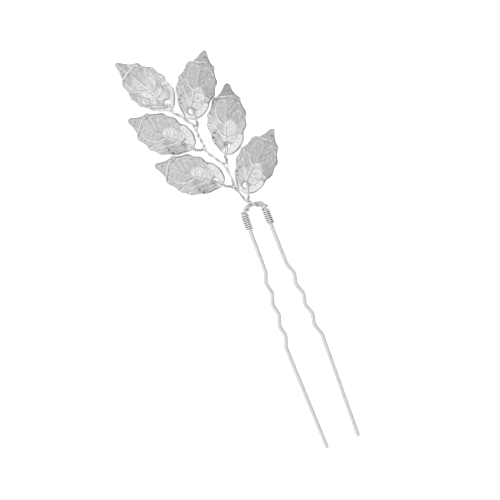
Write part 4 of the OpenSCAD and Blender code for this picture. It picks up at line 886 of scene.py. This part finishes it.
def wound(s, turn):
    """Point on a wire wound on the pin, at distance s from the bow's top and a turn from outwards."""
    a = max(0, min(abs(s), BOW_HALF) - BOW_FLAT) / BOW_R
    past = max(0, abs(s) - BOW_HALF)
    out = WIND_R * math.cos(turn)
    x = min(abs(s), BOW_FLAT) + (BOW_R + out) * math.sin(a) + past * math.sin(LEAN)
    y = BOW_Y + (BOW_R + out) * math.cos(a) - past * math.cos(LEAN)
    z = WIND_R * math.sin(turn)
    return (math.copysign(x, s), y * math.cos(pin_slope) - z * math.sin(pin_slope),
            PIN_Z + y * math.sin(pin_slope) + z * math.cos(pin_slope))


def tail_turn(s):
    return 2 * math.pi * (s - TAIL[0]) / (TAIL[1] - TAIL[0])


def bind_turn(s):
    near = min(max(s, LEFT_WIND[1]), RIGHT_WIND[0])
    return 2 * math.pi * (np.interp(near, bow_pass[:, 0], bow_pass[:, 1]) + (s - near) / WIND_PITCH)


def binding_path():
    """Places along the binding wire's middle."""
    s = np.concatenate([np.arange(*LEFT_WIND, WIND_PITCH / RINGS_PER_TURN),
                        np.arange(LEFT_WIND[1], RIGHT_WIND[0], RING_STEP),
                        np.arange(*RIGHT_WIND, WIND_PITCH / RINGS_PER_TURN)])
    return evenly(np.array([wound(v, bind_turn(v)) for v in s]))


# Spray wire: pairs along the stem and the branches, with a loop through each leaf. UNDER is the turn
# at which a pair's first strand lies under the second.
UNDER = 1.5 * math.pi


def strand(line, start, turns, hold=0.0):
    """One strand of a pair along a line, which turns once the hold is past."""
    s = lengths(line)
    angle = start + 2 * math.pi * turns * np.maximum(0, s - hold) / (s[-1] - hold)
    way = ways(line)
    left = np.stack([-way[:, 1], way[:, 0], 0 * way[:, 0]], axis=1)
    left /= np.linalg.norm(left, axis=1)[:, None]
    off = np.cos(angle)[:, None] * left + np.sin(angle)[:, None] * np.cross(way, left)
    return line + PAIR_GAP / 2 * off


def turns_for(line, start, end, pitch, hold=0.0):
    """Number of turns, near the pitch, that takes a pair from its start to its end."""
    part = ((end - start) / (2 * math.pi)) % 1
    return part + max(0, round((lengths(line)[-1] - hold) / pitch - part))


def side_of(branch):
    """Turn at which a pair's first strand lies on the branch's side of the stem."""
    return 0.0 if branch.side == "left" else math.pi


def on_leaf(leaf, lift, place, rise):
    """A place on a leaf, so far above the middle of its sheet."""
    x, y = place
    return leaf_turned(leaf, np.array([x, y, sheet(x, y) + rise - SHEET_T / 2])) + [0, 0, lift]


def pair_end(leaf, lift):
    """Place under the heel's edge where the pair of a leaf ends."""
    edge = np.array(leaf.exit)
    return on_leaf(leaf, lift, edge + LOOP_START[leaf.chart] * unit(edge - HOLE), 0)


def loop_through(leaf, lift):
    """Way of the wire under the heel, up through the hole and back over the heel, once or twice."""
    radius = SHEET_T / 2 + LOOP_CLEAR
    points = []
    for under, turn, over in LOOP_PASSES[leaf.chart]:
        down, up = unit(np.subtract(under, turn)), unit(np.subtract(over, turn))
        if points:
            points.append(on_leaf(leaf, lift, under + LOOP_ROUND * unit(np.subtract(under, HOLE)), 0))
        sides = [(under, down, -90), (turn + LOOP_RIM * down, down, -90), (turn, down, -90),
                 (turn, down, -45), (turn, up, 0), (turn, up, 45), (turn, up, 90),
                 (turn + LOOP_RIM * up, up, 90), (over, up, 90)]
        for place, way, degrees in sides:
            a = math.radians(degrees)
            points.append(on_leaf(leaf, lift, place - way * radius * math.cos(a), radius * math.sin(a)))
    return curve_through(points, step=RING_STEP)


def excursion(branch, foot, lift):
    """Way of the wire out along a branch, through its leaf and back."""
    leaf = LEAVES[branch.leaf - 1]
    top = pair_end(leaf, lift)
    middle = np.array([*branch.way, (foot[2] + top[2]) / 2])
    line = curve_through([foot + branch.fork * unit(middle - foot), middle, top], step=RING_STEP)
    start = side_of(branch)
    turns = turns_for(line, start, UNDER, BRANCH_PITCH)
    return [strand(line, start, turns), loop_through(leaf, lift), strand(line, start + math.pi, turns)[::-1]]


def stem_line(top):
    """Points of the stem, which rises evenly, up to its top."""
    rise = (STEM_Z[1] - STEM_Z[0]) / (top[1] - STEM[0][1])
    return [np.array([x, y, STEM_Z[0] + rise * (y - STEM[0][1])]) for x, y in STEM] + [top]


def spray_path(lifts):
    """Places along the spray wire's middle, and the wire's diameter at each."""
    stem = stem_line(pair_end(LEAVES[0], lifts[0]))
    up, down = [], []
    for branch, after in zip(BRANCHES, BRANCHES[1:] + [None]):
        line = curve_through(stem[branch.foot:after.foot + 1 if after else None], step=RING_STEP)
        start, end = side_of(branch), side_of(after) if after else UNDER
        hold = FORK_HOLD * branch.fork
        turns = turns_for(line, start, end, TWIST_PITCH, hold)
        up += excursion(branch, stem[branch.foot], lifts[branch.leaf - 1])
        up.append(strand(line, start, turns, hold)[round(hold / RING_STEP):])
        down.append(strand(line, start + math.pi, turns, hold)[::-1])
    way_down = np.vstack(down[::-1])[:-round(FORK_HOLD * BRANCHES[0].fork / RING_STEP)]
    tail = np.array([wound(s, tail_turn(s)) for s in np.arange(TAIL[1], TAIL[0], -RING_STEP)])
    path = np.vstack([tail, [SHOULDER]] + up + [loop_through(LEAVES[0], lifts[0]), way_down, SHORT_END])
    path = evenly(rounded(evenly(path)))
    from_tail = lengths(path) - lengths(tail)[-1]
    return path, np.interp(from_tail, [0, TAIL_TAPER], [WIRE_D, SPRAY_D])


# Materials: their nodes
def fill(tree, node, inputs):
    """Gives inputs of a node their values, or links other nodes' outputs to them."""
    for key, value in inputs.items():
        if isinstance(value, bpy.types.NodeSocket):
            tree.links.new(value, node.inputs[key])
        else:
            node.inputs[key].default_value = value
    return node


def add(tree, kind, inputs):
    return fill(tree, tree.nodes.new(kind), inputs)


def calculated(tree, kind, operation, *values):
    node = add(tree, kind, dict(enumerate(values)))
    node.operation = operation
    return node


def ramped(tree, value, before, after, low, high=1.0):
    """The value's smooth rise from low to high, between two of its own levels."""
    node = add(tree, "ShaderNodeMapRange", {"Value": value, "From Min": before, "From Max": after,
                                            "To Min": low, "To Max": high})
    node.interpolation_type = "SMOOTHSTEP"
    return node.outputs["Result"]


def multiplied(tree, colour, by):
    mix = tree.nodes.new("ShaderNodeMix")
    mix.data_type = "RGBA"
    mix.blend_type = "MULTIPLY"
    return fill(tree, mix, {"Factor": 1, "A": colour, "B": by}).outputs["Result"]


def blended(tree, share, stops):
    """Colour for a share, from the stops' places and colours."""
    ramp = add(tree, "ShaderNodeValToRGB", {"Fac": share})
    marks = ramp.color_ramp.elements
    while len(marks) < len(stops):
        marks.new(0.5)
    for mark, (place, colour) in zip(marks, stops):
        mark.position = place
        mark.color = (*colour, 1)
    return ramp.outputs["Color"]


def new_material(name):
    material = bpy.data.materials.new(name)
    material.use_nodes = True
    return material, material.node_tree, material.node_tree.nodes["Principled BSDF"]


# Materials: the metals
def metal(name, dark, bright, roughness, grain, patches):
    """Satin metal whose tone and gloss vary a little, with a fine grain, and what its tone is."""
    material, tree, shader = new_material(name)
    place = tree.nodes.new("ShaderNodeTexCoord").outputs["Object"]
    noise = add(tree, "ShaderNodeTexNoise", {"Vector": place, "Scale": patches, "Detail": PATCH_DETAIL})
    gloss = add(tree, "ShaderNodeMapRange", {"Value": noise.outputs["Fac"], "To Min": roughness[0],
                                             "To Max": roughness[1]})
    fine = add(tree, "ShaderNodeTexNoise", {"Vector": place, "Scale": GRAIN})
    bump = add(tree, "ShaderNodeBump", {"Height": fine.outputs["Fac"], "Strength": grain,
                                        "Distance": GRAIN_DEPTH})
    tone = blended(tree, noise.outputs["Fac"], [(PATCH_FROM, dark), (PATCH_TO, bright)])
    fill(tree, shader, {"Metallic": 1.0, "Roughness": gloss.outputs["Result"],
                        "Normal": bump.outputs["Normal"], "Base Color": tone})
    return material, tree, shader, tone, place


def toned(name, roughness, grain, stippled=False):
    """The metal with the tone that its mesh keeps, and for the leaves dark dots of painted shade for fine
    dents.
    """
    material, tree, shader, variation, place = metal(name, DULL, CLEAN, roughness, grain, PATCHES)
    tone = tree.nodes.new("ShaderNodeAttribute")
    tone.attribute_name = "tone"
    colour = multiplied(tree, tone.outputs["Color"], variation)
    if stippled:
        # Dark dots of painted shade for fine dents
        dent_shade = add(tree, "ShaderNodeTexVoronoi", {"Vector": place, "Scale": STIPPLE})
        keep = ramped(tree, dent_shade.outputs["Distance"], STIPPLE_FROM, STIPPLE_TO, 1 - STIPPLE_SHARE)
        colour = multiplied(tree, colour, keep)
    fill(tree, shader, {"Base Color": colour})
    return material


def pin_silver():
    """The pin's metal, with painted shade at its places as seen from above."""
    material, tree, shader, colour, place = metal("pin_silver", PIN_DARK, PIN_BRIGHT, PIN_ROUGHNESS,
                                                  PIN_GRAIN, PIN_PATCHES)
    flat = calculated(tree, "ShaderNodeVectorMath", "MULTIPLY", place, (1, 1, 0))
    geometry = tree.nodes.new("ShaderNodeNewGeometry")
    facing = add(tree, "ShaderNodeSeparateXYZ", {"Vector": geometry.outputs["Normal"]})
    # Painted shade at each place; the side spots only where the pin faces upwards by less
    for x, y, radius, strength in PIN_SHADE_SPOTS + SIDE_SHADE_SPOTS:
        middle = ((x + SHIFT[0]) * MM, (y + SHIFT[1]) * MM, 0)
        away = calculated(tree, "ShaderNodeVectorMath", "DISTANCE", flat.outputs["Vector"], middle)
        keep = 1 - strength
        if (x, y, radius, strength) in SIDE_SHADE_SPOTS:
            keep = ramped(tree, facing.outputs["Z"], SIDES_FROM, SIDES_TO, keep)
        start, end = (radius - SHADE_EDGE) * MM, (radius + SHADE_EDGE) * MM
        colour = multiplied(tree, colour, ramped(tree, away.outputs["Value"], start, end, keep))
    fill(tree, shader, {"Base Color": colour})
    return material


# Stage, camera and light
def floor():
    corners = FLOOR_HALF * np.array([(-1, -1, 0), (1, -1, 0), (1, 1, 0), (-1, 1, 0)])
    mesh = bpy.data.meshes.new("floor")
    mesh.from_pydata(corners.tolist(), [], [(0, 1, 2, 3)])
    material, tree, shader = new_material("paper")
    fill(tree, shader, {"Base Color": (0.9, 0.9, 0.9, 1), "Roughness": 0.9, "Specular IOR Level": 0.0,
                        "Emission Color": (1, 1, 1, 1), "Emission Strength": PAPER_GLOW})
    mesh.materials.append(material)
    linked("floor", mesh)


def camera():
    data = bpy.data.cameras.new("camera")
    data.sensor_width = SENSOR
    data.lens = SENSOR * CAMERA_HEIGHT / (PHOTO_FIELD * MM)
    data.clip_end = FAR
    piece = linked("camera", data)
    piece.location = (*((PHOTO_MIDDLE + SHIFT[:2]) * MM), CAMERA_HEIGHT)
    piece.rotation_euler = (0, 0, PHOTO_TURN)
    bpy.context.scene.camera = piece


def dome():
    world = bpy.data.worlds.new("studio")
    bpy.context.scene.world = world
    world.use_nodes = True
    tree = world.node_tree
    way = tree.nodes.new("ShaderNodeTexCoord").outputs["Generated"]
    split = add(tree, "ShaderNodeSeparateXYZ", {"Vector": way})
    angle = calculated(tree, "ShaderNodeMath", "ARCCOSINE", split.outputs["Z"])
    share = calculated(tree, "ShaderNodeMath", "DIVIDE", angle.outputs["Value"], math.pi / 2)
    sky = blended(tree, share.outputs["Value"], [(degrees / 90, [level] * 3) for degrees, level in DOME])
    toward = calculated(tree, "ShaderNodeVectorMath", "DOT_PRODUCT", way, SIDE_WAY)
    side = ramped(tree, toward.outputs["Value"], SIDE_FROM, SIDE_TO, 0.0, SIDE_LIGHT)
    level = calculated(tree, "ShaderNodeMath", "ADD", sky, side)
    fill(tree, tree.nodes["Background"], {"Color": (1, 1, 1, 1), "Strength": level.outputs["Value"]})


scene = bpy.context.scene
scene.view_settings.view_transform = "Standard"
camera()
floor()
dome()
leaf_silver = toned("leaf_silver", (0.26, 0.34), 0.25, stippled=True)
wire_silver = toned("wire_silver", (0.22, 0.3), 0.2)

lifts = [make_leaf(leaf, "leaf_%d" % number, leaf_silver) for number, leaf in enumerate(LEAVES, 1)]
make_wire("twisted_spray_wire", *spray_path(lifts), SPRAY_TONES, wire_silver, "spray_wire")
make_wire("wound_binding_wire", binding_path(), WIRE_D, BINDING_TONES, wire_silver, "binding_wire")
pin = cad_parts["u_pin"]
pin.data.materials.clear()
pin.data.materials.append(pin_silver())
